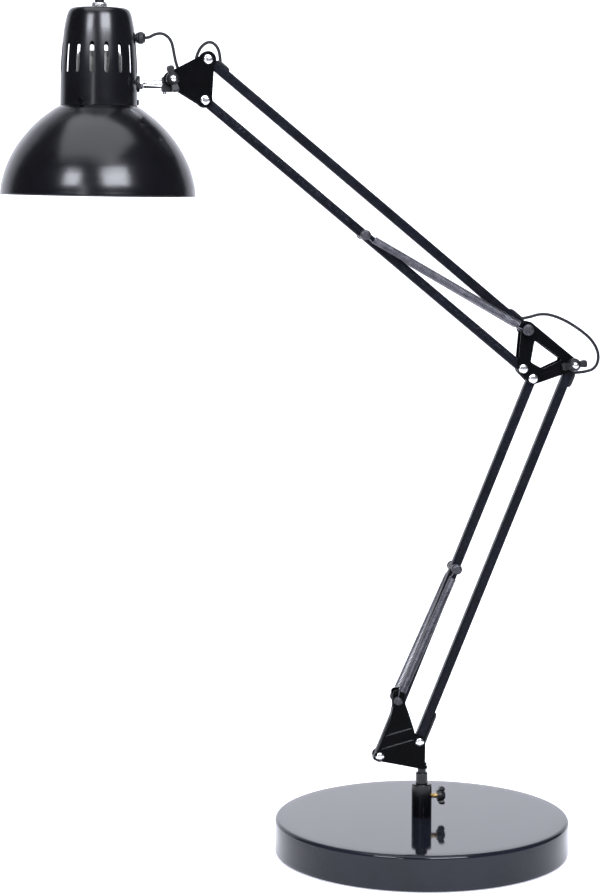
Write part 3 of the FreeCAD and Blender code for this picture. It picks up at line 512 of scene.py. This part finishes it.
def rivet(p, half, r, head_r, head_h):
    """Shank and two low domed heads with a small crown flat."""
    prof = [(0, -(half + head_h))]
    dome = [(0.30, 0.985), (0.52, 0.93), (0.70, 0.82), (0.84, 0.66), (0.94, 0.45), (0.99, 0.24), (1.0, 0.12), (0.97, 0.0)]
    prof += [(head_r * a, -(half + head_h * b)) for a, b in dome] + [(r, -half), (r, 0.0), (r, half)]
    prof += [(head_r * a, half + head_h * b) for a, b in reversed(dome)] + [(0, half + head_h)]
    return lathe(prof, (p[0], 0, p[1]), "y", 40)


dress(make("lower_rivets_fine", *group([rivet(P1, 6.8, 2.5, 3.6, 1.6), rivet(P2, 6.8, 2.5, 3.6, 1.6)]), "nickel", sharp=44), "lower_rivets")
dress(make("elbow_rivets_fine", *group([rivet(P3, 5.8, 2.5, 3.9, 1.7), rivet(P5, 5.8, 2.5, 3.9, 1.7)]), "nickel", sharp=44), "elbow_rivets")
dress(make("head_rivets_fine", *group([rivet(P7, 5.8, 2.5, 3.9, 1.7), rivet(P8, 5.8, 2.5, 3.9, 1.7)]), "nickel", sharp=44), "head_rivets")


def stud(p, k):
    pts = [(0, k * 4.6), (2.0, k * 4.6), (2.0, k * 5.8), (3.2, k * 5.8), (3.2, k * 7.2), (2.0, k * 7.9), (2.0, k * 10.5), (3.3, k * 10.9), (3.3, k * 11.7), (2.4, k * 12.3), (0, k * 12.3)]
    return lathe(soften(pts, 0.3), (p[0], 0, p[1]), "y", 40)


dress(make("spring_studs_fine", *group([stud(EAR, -1), stud(EAR, 1)]), "anchor_grey", sharp=44), "spring_studs")


def shoulder(p):
    half = [(2.8, 12.4), (4.0, 11.7), (4.0, 10.7), (2.0, 10.7), (2.0, 7.7), (3.9, 7.7), (3.9, 3.75), (1.6, 3.75)]
    prof = [(0, -12.4)] + [(r, -h) for r, h in half] + [(r, h) for r, h in reversed(half)] + [(0, 12.4)]
    return lathe(soften(prof, 0.3), (p[0], 0, p[1]), "y", 44)


dress(make("lower_anchor_fine", *shoulder(A_LOW), "anchor_grey", sharp=44), "lower_anchor_bolt")
dress(make("upper_anchor_fine", *shoulder(A_UP), "anchor_grey", sharp=44), "upper_anchor_bolt")
pin = [(0, -12.6), (3.2, -12.6), (4.6, -11.9), (4.6, -10.8), (2.5, -10.7), (2.5, 10.7), (4.6, 10.8), (4.6, 11.9), (3.2, 12.6), (0, 12.6)]
dress(make("elbow_spring_pin_fine", *lathe(soften(pin, 0.35), (P6[0], 0, P6[1]), "y", 48), "anchor_grey", sharp=44), "elbow_spring_pin")

# ---------------------------------------------------------------- arm tubes
for n in ("lower_rear_tube", "lower_front_tube", "upper_rear_tube", "upper_front_tube"):
    dress(refined(n, "tube_paint", 0.16, 2, 40), n)
for n in ("lower_flex_grommets", "upper_flex_grommets"):
    dress(moulded(n, "black_plastic", 0.25, 6), n)
for n in ("lower_front_plugs", "upper_front_plugs"):
    dress(refined(n, "black_plastic", 0.2, 2, 40), n)


# ---------------------------------------------------------------- coil springs
def coil_points(pa, pb, y, ra, rb, wire=0.43, mean=2.72, turns=None):
    """Centre line of one spring: an eye round each pin, a rise to the coil, and close turns between."""
    a, b = Vector((pa[0], y, pa[1])), Vector((pb[0], y, pb[1]))
    length = (b - a).length
    d = (b - a).normalized()
    s = Vector((0, 1, 0))
    w = d.cross(s).normalized()
    z0, z1 = 8.0, length - 8.0
    turns = turns or int((z1 - z0) / 1.12)
    pts = []
    eye = ra + 0.62
    for k in range(22):
        t = math.radians(-150 + 330 * k / 21)
        pts.append(a + w * (eye * math.cos(t)) * -1 + d * (eye * math.sin(t)) * -1 + s * (0.45 - 0.9 * k / 21) * 0.5)
    last = pts[-1]
    for k in range(1, 9):
        t = k / 9
        e = t * t * (3 - 2 * t)
        tgt = a + d * (z0 + 0.2) + w * mean
        pts.append(last.lerp(a + d * (z0 - 2.5), t) if t < 0.5 else (last.lerp(a + d * (z0 - 2.5), t)).lerp(tgt, (e - 0.5) * 2 * (e > 0.5)))
    n = turns * 18
    for k in range(n + 1):
        t = k / n
        ang = 2 * math.pi * turns * t
        pts.append(a + d * (z0 + (z1 - z0) * t) + w * (mean * math.cos(ang)) + s * (mean * math.sin(ang)))
    eye = rb + 0.62
    tail = []
    for k in range(22):
        t = math.radians(-150 + 330 * k / 21)
        tail.append(b + w * (eye * math.cos(t)) * -1 + d * (eye * math.sin(t)) + s * (0.45 - 0.9 * k / 21) * -0.5)
    tail.reverse()
    first = tail[0]
    lead = []
    for k in range(1, 9):
        t = 1 - k / 9
        e = t * t * (3 - 2 * t)
        tgt = a + d * (z1 - 0.2) + w * mean
        lead.append(first.lerp(a + d * (z1 + 2.5), t) if t < 0.5 else (first.lerp(a + d * (z1 + 2.5), t)).lerp(tgt, (e - 0.5) * 2 * (e > 0.5)))
    return pts + lead + tail


def springs(name, node, pa, pb, ra, rb, pivot, a, b):
    mesh = []
    for y in (-SPRING_Y, SPRING_Y):
        pts = coil_points(pa, pb, y, ra, rb)
        o = tube(pts, circle(0.43, 7), name + "_tmp", "spring_steel")
        vs = [tuple(q.co / MM) for q in o.data.vertices]
        fs = [tuple(p.vertices) for p in o.data.polygons]
        mesh.append((vs, fs))
        bpy.data.objects.remove(o)
    o = make(name, *group(mesh), "spring_steel", sharp=70)
    e0 = Vector((pa[0], 0, pa[1]))
    e1 = Vector((pb[0], 0, pb[1]))
    pv = Vector((pivot[0], 0, pivot[1]))
    d = (e1 - e0)
    full = e1 - pv
    turn = Matrix.Rotation(math.radians(-24), 3, "Y")   # the turn at which the springs are drawn quite straight

    def share(p):
        t = (Vector((p.x, 0, p.z)) - e0).dot(d) / d.length_squared
        t = max(0.0, min(1.0, t))
        if t <= 0.03:
            return 0.0
        if t >= 0.97:
            return 1.0
        t = (t - 0.03) / 0.94
        here = e0 + d * t
        away, line = turn @ (here - pv) + pv - here, turn @ full + pv - e0
        normal = Vector((-line.z, 0, line.x))
        return (e0 - here).dot(normal) / away.dot(normal) if abs(away.dot(normal)) > 1e-6 else t

    weights(o, a, b, (pa[0], 0, pa[1]), (pb[0], 0, pb[1]), share)
    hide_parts(node)
    return o


springs("lower_springs_coil", "lower_springs", EAR, A_LOW, 2.0, 2.0, P1, "swivel", "lower_link")
springs("upper_springs_coil", "upper_springs", P6, A_UP, 2.5, 2.0, P5, "elbow", "upper_link")

# ---------------------------------------------------------------- flex
HEAD_ROUTE = [
    tipped(-226.0, 656.0), tipped(-220.0, 656.0), (-214.6, 659.6), (-207.6, 660.2), (-201.6, 655.0), (-199.7, 645.4), (-198.0, 636.4), (-194.4, 627.6), (-187.4, 624.8),
    (-182.8, 630.6), (-182.6, 641.6), (-178.4, 650.6), (-171.2, 654.6), (-165.0, 649.8), (-163.3, 641.0), at(P8, B2, 13.2), at(P8, B2, 24.0),
]
ELBOW_ROUTE = [
    at(P6, U2, 24.0), at(P6, U2, 12.0), (85.0, 436.4), (97.4, 440.0), (112.6, 435.6), (127.6, 426.6), (138.6, 417.4), (144.4, 405.8), (141.6, 394.6), (131.0, 391.6), at(P4, B1, 7.6), at(P4, B1, 20.0),
]


def smooth_line(points, name):
    """The NURBS line of a route, read back as points."""
    cu = bpy.data.curves.new(name, "CURVE")
    cu.dimensions = "3D"
    sp = cu.splines.new("NURBS")
    sp.points.add(len(points) - 1)
    for q, p in zip(sp.points, points):
        q.co = (p[0], 0, p[1], 1)
    sp.order_u = 3
    sp.use_endpoint_u = True
    sp.resolution_u = 10
    o = bpy.data.objects.new(name, cu)
    bpy.context.scene.collection.objects.link(o)
    bpy.context.view_layer.update()
    dg = bpy.context.evaluated_depsgraph_get()
    me = bpy.data.meshes.new_from_object(o.evaluated_get(dg))
    pts = [v.co.copy() for v in me.vertices]
    bpy.data.objects.remove(o)
    bpy.data.meshes.remove(me)
    return pts


def nearest(pts, p):
    q = Vector((p[0], 0, p[1]))
    return min(range(len(pts)), key=lambda i: (pts[i] - q).length)


def twin(n=28, r=1.22):
    """Outline of two-core flex: nearly round, with a groove down each flat side."""
    out = []
    for k in range(n):
        a = 2 * math.pi * k / n
        groove = 0.17 * max(0.0, abs(math.sin(a))) ** 10
        out.append((r * math.cos(a) * 1.0, r * math.sin(a) * (0.86 - groove)))
    return out


def run(pts, name, node, a=None, b=None, body=None):
    o = tube(pts, twin(), name, "flex_sheath")
    if a:
        lengths = [0.0]
        for p, q in zip(pts, pts[1:]):
            lengths.append(lengths[-1] + (q - p).length)
        total = lengths[-1]

        def share(p):
            i = min(range(len(pts)), key=lambda j: (pts[j] - p).length_squared)
            t = lengths[i] / total
            t = max(0.0, min(1.0, (t - 0.06) / 0.88))
            return t * t * (3 - 2 * t)

        weights(o, a, b, tuple(pts[0]), tuple(pts[-1]), share)
    else:
        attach(o, body)
    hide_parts(node)
    return o


def mid(p, q):
    return ((p[0] + q[0]) / 2, (p[1] + q[1]) / 2)


head_line = smooth_line(HEAD_ROUTE, "head_route_line")
elbow_line = smooth_line(ELBOW_ROUTE, "elbow_route_line")
i3 = nearest(head_line, mid(HEAD_ROUTE[3], HEAD_ROUTE[4]))
i7 = nearest(head_line, mid(HEAD_ROUTE[7], HEAD_ROUTE[8]))
j5 = nearest(elbow_line, mid(ELBOW_ROUTE[5], ELBOW_ROUTE[6]))
run(head_line[:i3 + 1], "flex_head_a_twin", "flex_head_a", "head", "pivot")
run(head_line[i3:i7 + 1], "flex_head_b_twin", "flex_head_b", "pivot", "head_bracket")
run(head_line[i7:], "flex_head_c_twin", "flex_head_c", "head_bracket", "upper_arm")
run(elbow_line[:j5 + 1], "flex_elbow_a_twin", "flex_elbow_a", "upper_arm", "elbow")
run(elbow_line[j5:], "flex_elbow_b_twin", "flex_elbow_b", "elbow", "lower_arm")


def straight(p, q, n=40):
    return [Vector((p[0] + (q[0] - p[0]) * k / n, 0, p[1] + (q[1] - p[1]) * k / n)) for k in range(n + 1)]


run(straight(at(P8, B2, 24.0), at(P6, U2, 24.0)), "flex_upper_run_twin", "flex_upper_run", body="upper_arm")
run(straight(at(P4, B1, 20.0), at(P2, U1, 14.0)), "flex_lower_run_twin", "flex_lower_run", body="lower_arm")

# ---------------------------------------------------------------- brackets, bolts and wing nuts
dress(refined("elbow_plates", "bracket_paint", 0.22, 3, 30), "elbow_plates")
dress(refined("head_plates", "bracket_paint", 0.22, 3, 30), "head_plates")


def bolt(p):
    """Round-headed bolt; the near end carries its thread."""
    head = [(0, 8.8), (1.2, 8.8), (2.4, 8.75), (3.6, 8.45), (4.2, 8.0), (4.4, 7.4), (4.4, 6.1), (4.2, 5.85), (2.4, 5.82), (2.4, 0.0), (2.4, -6.0), (0, -6.0)]
    v1, f1 = lathe(head, (p[0], 0, p[1]), "y", 40)
    v2, f2 = threaded(2.4, 10.2, 0.8, 0.3, (p[0], -6.0, p[1]), "-y", lead=0.5)
    return group([(v1, f1), (v2, f2)])


dress(make("elbow_bolt_fine", *bolt(P4), "nickel", sharp=50), "elbow_bolt")
dress(make("head_bolt_fine", *bolt(P9), "nickel", sharp=50), "head_bolt")
for n in ("elbow_wing_nut", "head_wing_nut"):
    dress(moulded(n, "black_plastic", 0.2, 9), n)
dress(refined("pivot_block", "black_plastic", 0.3, 3, 30), "pivot_block")

# ---------------------------------------------------------------- head
house = [
    (29.05, 603.3), (29.95, 603.3), (30.0, 608.0), (29.85, 622.0), (29.7, 631.0), (29.4, 638.4), (28.85, 646.0), (28.15, 654.0), (27.35, 661.3),
    (26.65, 665.3), (25.95, 668.8), (25.2, 672.0), (24.4, 674.4), (23.4, 676.2), (21.9, 677.5), (19.6, 678.2), (14.0, 678.7), (5.1, 679.0),
]
inner = [(5.1, 677.9), (14.0, 677.6), (19.2, 677.1), (21.1, 676.5), (22.4, 675.4), (23.3, 673.9), (24.1, 671.7), (24.9, 668.5), (25.65, 665.0), (26.35, 660.9), (27.2, 653.8), (27.9, 645.8), (28.45, 638.3), (28.75, 631.0), (28.9, 622.0)]


def spline(points, per=5):
    """Catmull-Rom through profile points, for an even turned surface."""
    out = []
    n = len(points)
    for i in range(n - 1):
        p0, p1, p2, p3 = points[max(0, i - 1)], points[i], points[i + 1], points[min(n - 1, i + 2)]
        for k in range(per):
            t = k / per
            out.append(tuple(0.5 * (2 * p1[j] + (p2[j] - p0[j]) * t + (2 * p0[j] - 5 * p1[j] + 4 * p2[j] - p3[j]) * t * t + (3 * p1[j] - p0[j] - 3 * p2[j] + p3[j]) * t ** 3) for j in (0, 1)))
    out.append(points[-1])
    return out


outer_fine = [(29.15, 603.3), (29.7, 603.3), (29.93, 603.5)] + spline([(29.97, 604.2), (30.0, 608.0)], 3) + spline(house[2:], 4)[1:]
inner_fine = spline(inner, 3) + [(28.95, 612.0), (29.05, 604.0)]
v, f = lathe(outer_fine + inner_fine, (HEAD_X, 0, 0), "z", 320, closed=True)
body = make("socket_housing_fine", v, f, "shade_enamel", sharp=50)
cut_v, cut_f = [], []
cutters = []
for k in range(16):
    a = math.radians(8.06 + 22.5 * k) - math.pi / 2
    ring = []
    r = 1.7
    for s in range(20):
        t = math.pi * s / 19
        ring.append((r * math.cos(t), 651.5 - r + r * math.sin(t)))
    for s in range(20):
        t = math.pi + math.pi * s / 19
        ring.append((r * math.cos(t), 628.0 + r + r * math.sin(t)))
    vs = []
    for rad in (24.0, 32.0):
        for x, z in ring:
            vs.append((HEAD_X + rad * math.cos(a) - x * math.sin(a), rad * math.sin(a) + x * math.cos(a), z))
    m = len(ring)
    fs = [tuple(range(m)), tuple(range(2 * m - 1, m - 1, -1))] + [(i, i + m, (i + 1) % m + m, (i + 1) % m) for i in range(m)]
    cutters.append((vs, fs))
for (cx, cy, cz, r, kind) in ((HEAD_X, 0, 620.6, 2.9, 0), (HEAD_X, 0, 656.0, 3.0, 0)):
    vs, fs = lathe([(0, 24), (r, 24), (r, 33), (0, 33)], (cx, cy, cz), "x", 32)
    cutters.append((vs, fs))
for a in (-31.0, 89.0, 209.0):
    rr = math.radians(a)
    vs, fs = lathe([(0, 25.6), (1.32, 25.6), (1.32, 29.97), (2.34, 29.97), (2.34, 32.2), (0, 32.2)], (0, 0, 0), "x", 28)
    turn = Matrix.Rotation(rr - math.pi / 2, 3, "Z")
    vs = [tuple(turn @ Vector(q) + Vector((HEAD_X, 0, 606.2))) for q in vs]
    cutters.append((vs, fs))
cutter = make("vent_cutter", *group(cutters), "shade_enamel", smooth=False)
bo = body.modifiers.new("vents", "BOOLEAN")
bo.object = cutter
bo.operation = "DIFFERENCE"
bo.solver = "EXACT"
bo.use_self = False
settle(body)
bpy.data.objects.remove(cutter)


def turned_normals(o, cx, curves, tol=0.09):
    """Sets the normals of turned faces from their profile, so that cuts leave the surface even."""
    me = o.data
    segs = []
    for curve, sign in curves:
        for p, q in zip(curve, curve[1:]):
            dr, dh = q[0] - p[0], q[1] - p[1]
            ln = math.hypot(dr, dh)
            if ln > 1e-6:
                segs.append((p, q, (sign * dh / ln, -sign * dr / ln)))
    tang = {}

    def normal_at(r, h):
        best, bn = 1e9, None
        for p, q, nrm in segs:
            dr, dh = q[0] - p[0], q[1] - p[1]
            t = max(0.0, min(1.0, ((r - p[0]) * dr + (h - p[1]) * dh) / (dr * dr + dh * dh)))
            dd = (r - p[0] - dr * t) ** 2 + (h - p[1] - dh * t) ** 2
            if dd < best:
                best, bn = dd, nrm
        return math.sqrt(best), bn

    me.shade_smooth()
    loops = [Vector((0, 0, 0))] * len(me.loops)
    cache = {}
    for poly in me.polygons:
        c = poly.center / MM
        rx, ry = c.x - cx, c.y
        rc = math.hypot(rx, ry)
        n = poly.normal
        nr = (n.x * rx + n.y * ry) / max(rc, 1e-6)
        for li in poly.loop_indices:
            vi = me.loops[li].vertex_index
            if vi not in cache:
                q = me.vertices[vi].co / MM
                cache[vi] = (math.hypot(q.x - cx, q.y), math.atan2(q.y, q.x - cx), q.z) + tuple(normal_at(math.hypot(q.x - cx, q.y), q.z))
            r, ang, h, dist, pn = cache[vi]
            use = poly.normal.copy()
            if pn is not None and dist < tol:
                cand = Vector((pn[0] * math.cos(ang), pn[0] * math.sin(ang), pn[1]))
                if cand.dot(n) > 0.94:
                    use = cand
            loops[li] = use
    me.normals_split_custom_set([tuple(q) for q in loops])


def vertex_smoothed(curve):
    return curve


turned_normals(body, HEAD_X, [(outer_fine, 1), (inner_fine, 1)])
dress(tilt_head(body), "socket_housing")


def screw_head(a):
    """Low round screw head with a cross slot pressed in by its profile."""
    rr = math.radians(a)
    prof = soften([(0, 26.0), (1.3, 26.0), (1.3, 29.98), (2.3, 29.98), (2.3, 30.8), (1.9, 31.15), (1.0, 31.28), (0, 31.28)], 0.2)
    segs = 48
    vs, fs = lathe(prof, (0, 0, 0), "x", segs)
    out = []
    for x, y, z in vs:
        if x > 30.9 and (abs(y) < 0.32 or abs(z) < 0.32) and math.hypot(y, z) < 1.5:
            x -= 0.45
        out.append((x, y, z))
    turn = Matrix.Rotation(rr - math.pi / 2, 3, "Z")
    return [tuple(turn @ Vector(q) + Vector((HEAD_X, 0, 606.2))) for q in out], fs


dress(tilt_head(make("housing_screws_fine", *group([screw_head(a) for a in (-31.0, 89.0, 209.0)]), "bracket_paint", sharp=50)), "housing_screws")

dome = [
    (30.1, 603.2), (31.6, 602.2), (33.9, 600.9), (36.3, 599.2), (40.9, 595.9), (45.6, 592.1), (49.9, 588.2), (53.6, 584.3), (56.9, 580.4), (59.9, 576.6),
    (62.7, 572.7), (65.1, 568.9), (67.3, 565.0), (69.2, 561.1), (70.9, 557.3), (72.35, 553.4), (73.6, 549.6), (74.6, 545.7), (75.4, 541.9), (75.9, 538.0), (76.2, 533.65),
]
fine = spline(dome, 3)
out_prof = [(20.2, 603.2), (24.0, 603.2), (28.0, 603.2), (29.6, 603.15)] + fine[1:-3]
rim = [(76.05, 536.2), (76.2, 535.3), (76.2, 534.4), (76.0, 533.85), (75.65, 533.65), (75.3, 533.75), (75.1, 534.1), (75.05, 535.0)]
inn = []
for i, (r, z) in enumerate(fine[1:-4]):
    a, b = fine[i], fine[i + 2]
    tx, tz = b[0] - a[0], b[1] - a[1]
    n = math.hypot(tx, tz)
    inn.append((r + 0.9 * tz / n, z - 0.9 * tx / n))
in_prof = list(reversed(inn)) + [(29.0, 602.3), (24.0, 602.3), (20.2, 602.3)]
full_prof = out_prof + rim + in_prof
v, f = lathe(full_prof, (HEAD_X, 0, 0), "z", 256, closed=True)
shade = make("shade_fine", v, f, ["shade_enamel", "shade_white"], sharp=50)
segs = 256
first_white = (len(out_prof) + 5) * segs
last_white = (len(full_prof) - 1) * segs
for poly in shade.data.polygons:
    if min(poly.vertices) >= first_white and max(poly.vertices) < len(full_prof) * segs and not (min(poly.vertices) < segs):
        poly.material_index = 1
dress(tilt_head(shade), "shade")

bulb_prof = [
    (0.0, 638.6), (1.5, 638.6), (4.6, 638.4), (5.4, 636.4), (9.0, 634.4), (12.4, 632.6), (13.1, 632.0),
]
thread = []
for k in range(0, 41):
    h = 631.6 - 20.0 * k / 40
    thread.append((12.75 + 0.45 * math.sin(2 * math.pi * k / 7.0), h))
glass = spline([(13.0, 608.6), (13.6, 604.4), (15.2, 599.6), (17.8, 594.4), (20.4, 588.8), (22.0, 582.6), (22.5, 577.4), (21.9, 571.8), (20.2, 566.6), (17.2, 562.0), (13.2, 558.6), (8.4, 556.3), (4.2, 555.3), (0.0, 555.0)], 4)
prof = bulb_prof + thread + [(13.15, 610.6)] + glass
v, f = lathe(prof, (HEAD_X, 0, 0), "z", 96)
bulb = make("bulb_fine", v, f, ["opal", "brass"], sharp=60)
for poly in bulb.data.polygons:
    if poly.center.z / MM > 609.6:
        poly.material_index = 1
dress(tilt_head(bulb), "bulb")

ring = soften([(20.0, 597.6), (24.6, 597.6), (25.4, 598.6), (25.4, 600.6), (24.2, 602.25), (20.0, 602.25)], 0.4, closed=True)
v, f = lathe(ring, (HEAD_X, 0, 0), "z", 192, closed=True, wave=lambda a, r, h: 1.0 - (0.022 if r > 24 else 0.0) * (0.5 + 0.5 * math.cos(24 * a)) ** 4)
dress(tilt_head(make("shade_ring_fine", v, f, "porcelain", sharp=50)), "shade_ring")
hold = soften([(17.5, 597.0), (19.9, 597.0), (19.9, 612.0), (18.6, 614.0), (18.6, 640.0), (15.0, 645.0), (0, 645.0)], 0.5)
hold_in = soften([(0, 640.0), (14.6, 640.0), (14.6, 603.5), (17.5, 603.5), (17.5, 597.0)], 0.3)
v, f = lathe(hold + hold_in, (HEAD_X, 0, 0), "z", 96)
dress(tilt_head(make("lampholder_fine", v, f, "porcelain", sharp=40)), "lampholder")

def rod_wave(a, r, h):
    return 1.0


rod = soften([(0, -236.5), (2.4, -236.5), (2.8, -236.1), (2.8, -226.6), (3.4, -226.2), (3.4, -205.0), (3.0, -204.6), (0, -204.6)], 0.2)
dress(tilt_head(make("stem_rod_fine", *lathe(rod, (0, 0, 620.6), "x", 64), "chrome", sharp=40)), "stem_rod")
dress(refined("stem_washer", "black_plastic", 0.25, 3, 35), "stem_washer")
dress(refined("stem_nut", "nickel", 0.15, 2, 30), "stem_nut")
gl = soften([(1.45, 0.0), (2.9, 0.0), (2.9, 3.2), (4.0, 3.2), (4.0, 4.6), (4.7, 5.0), (4.7, 8.2), (3.9, 9.0), (3.4, 10.2), (1.45, 10.2)], 0.3, closed=True)
v, f = lathe(gl, (-232.8, 0, 656.0), "x", 144, closed=True, wave=lambda a, r, h: 1.0 - (0.05 if r > 4.3 else 0.0) * (0.5 + 0.5 * math.cos(18 * a)) ** 3)
dress(tilt_head(make("flex_gland_fine", v, f, "black_plastic", sharp=50)), "flex_gland")
rn = soften([(5.02, 679.02), (5.7, 679.02), (5.95, 679.4), (5.95, 681.6), (5.6, 682.0), (5.02, 682.0)], 0.15, closed=True)
v, f = lathe(rn, (HEAD_X, 0, 0), "z", 216, closed=True, wave=lambda a, r, h: 1.0 - (0.025 if r > 5.5 else 0.0) * (0.5 + 0.5 * math.cos(36 * a)))
dress(tilt_head(make("switch_ring_fine", v, f, "nickel", sharp=50)), "switch_ring_nut")
bt = spline([(3.65, 686.4), (3.6, 687.4), (3.3, 688.2), (2.4, 688.75), (1.2, 688.95), (0.0, 689.0)], 4)
v, f = lathe([(0, 675.6), (3.3, 675.6), (3.65, 676.0), (3.65, 680.0)] + bt, (HEAD_X, 0, 0), "z", 64)
dress(tilt_head(make("switch_button_fine", v, f, "black_plastic", sharp=50)), "switch_button")
sb = soften([(0, 655.0), (9.6, 655.0), (10.0, 655.6), (10.0, 676.4), (9.0, 677.5), (5.0, 677.5), (5.0, 682.6), (3.75, 682.6), (3.75, 672.0), (0, 672.0)], 0.25)
dress(tilt_head(make("switch_body_fine", *lathe(sb, (HEAD_X, 0, 0), "z", 80), "black_plastic", sharp=40)), "switch_body")

# ---------------------------------------------------------------- carried-over CAD nodes get their finish
for name, o in nodes.items():
    if o.hide_render:
        continue
    o.data.materials.clear()
    o.data.materials.append(MATS[SLOT_MAT[SLOT_OF[name]]])

# ---------------------------------------------------------------- floor, light and camera
def stage_material(name, colour, rough, emit=0.0):
    m = bpy.data.materials.new(name)
    m.use_nodes = True
    b = m.node_tree.nodes["Principled BSDF"]
    tc = m.node_tree.nodes.new("ShaderNodeTexCoord")
    n = noise(m.node_tree, tc.outputs["Object"], 3.0, 3.0, 0.5)
    rr = ramp(m.node_tree, n, [(0.3, tuple(c * 0.995 for c in colour)), (0.7, colour)])
    m.node_tree.links.new(rr.outputs["Color"], b.inputs["Base Color"])
    b.inputs["Roughness"].default_value = rough
    b.inputs["Specular IOR Level"].default_value = 0.2
    if emit:
        b.inputs["Emission Color"].default_value = (0.95, 0.97, 1.12, 1)
        b.inputs["Emission Strength"].default_value = emit
    return m


prof = []
for k in range(13):
    a = math.radians(90 * k / 12)
    prof.append((2.6 + 1.0 * math.sin(a), 1.0 - math.cos(a)))
line = [(-4.5, -0.0005), (2.0, -0.0005)] + [(y, z - 0.0005) for y, z in prof] + [(3.6, 5.0)]
verts, faces = [], []
for x in (-5.0, 5.0):
    for y, z in line:
        verts.append((x, y, z))
m = len(line)
for i in range(m - 1):
    faces.append((i, i + 1, m + i + 1, m + i))
me = bpy.data.meshes.new("studio_floor")
me.from_pydata(verts, [], faces)
floor = bpy.data.objects.new("studio_floor", me)
bpy.context.scene.collection.objects.link(floor)
me.materials.append(stage_material("studio_white", (0.93, 0.93, 0.93), 0.7, emit=0.56))
me.shade_smooth()


def area(name, loc, target, size, power, colour=(1, 1, 1)):
    li = bpy.data.lights.new(name, "AREA")
    li.shape = "RECTANGLE"
    li.size, li.size_y = size
    li.energy = power
    li.color = colour
    o = bpy.data.objects.new(name, li)
    o.location = loc
    o.rotation_euler = (Vector(target) - Vector(loc)).to_track_quat("-Z", "Y").to_euler()
    bpy.context.scene.collection.objects.link(o)
    return o


area("top_soft", (-0.35, -0.45, 2.5), (-0.1, 0.1, 0.0), (2.4, 2.0), 44, (0.93, 0.95, 1.0))
area("front_left_soft", (-1.38, -1.58, 1.52), (-0.26, 0.0, 0.57), (0.66, 0.66), 29, (0.88, 0.91, 1.0))
area("front_middle_soft", (0.36, -1.82, 1.60), (-0.26, 0.0, 0.57), (1.10, 0.80), 58, (0.88, 0.91, 1.0))
area("front_low_band", (-1.05, -2.1, 0.75), (-0.26, 0.0, 0.60), (0.18, 1.1), 4, (0.92, 0.95, 1.0))
area("back_wash", (0.0, 1.2, 2.4), (0.0, 3.4, 0.8), (3.5, 1.0), 42, (0.95, 0.97, 1.0))

world = bpy.data.worlds.new("studio_world")
world.use_nodes = True
bg = world.node_tree.nodes["Background"]
bg.inputs["Color"].default_value = (1.0, 1.0, 1.0, 1)
bg.inputs["Strength"].default_value = 0.08
bpy.context.scene.world = world
bpy.context.scene.view_settings.view_transform = "Standard"
bpy.context.scene.view_settings.look = "None"

cam = bpy.data.cameras.new("camera")
cam.sensor_fit = "HORIZONTAL"
cam.sensor_width = 36.0
cam.lens = 147.75
cam.clip_start = 0.05
cam.clip_end = 50
camera = bpy.data.objects.new("camera", cam)
camera.location = (-0.37618, -1.93526, 0.55742)
camera.rotation_euler = (math.radians(83.4937), 0, math.radians(-8.1084))
bpy.context.scene.collection.objects.link(camera)
bpy.context.scene.camera = camera
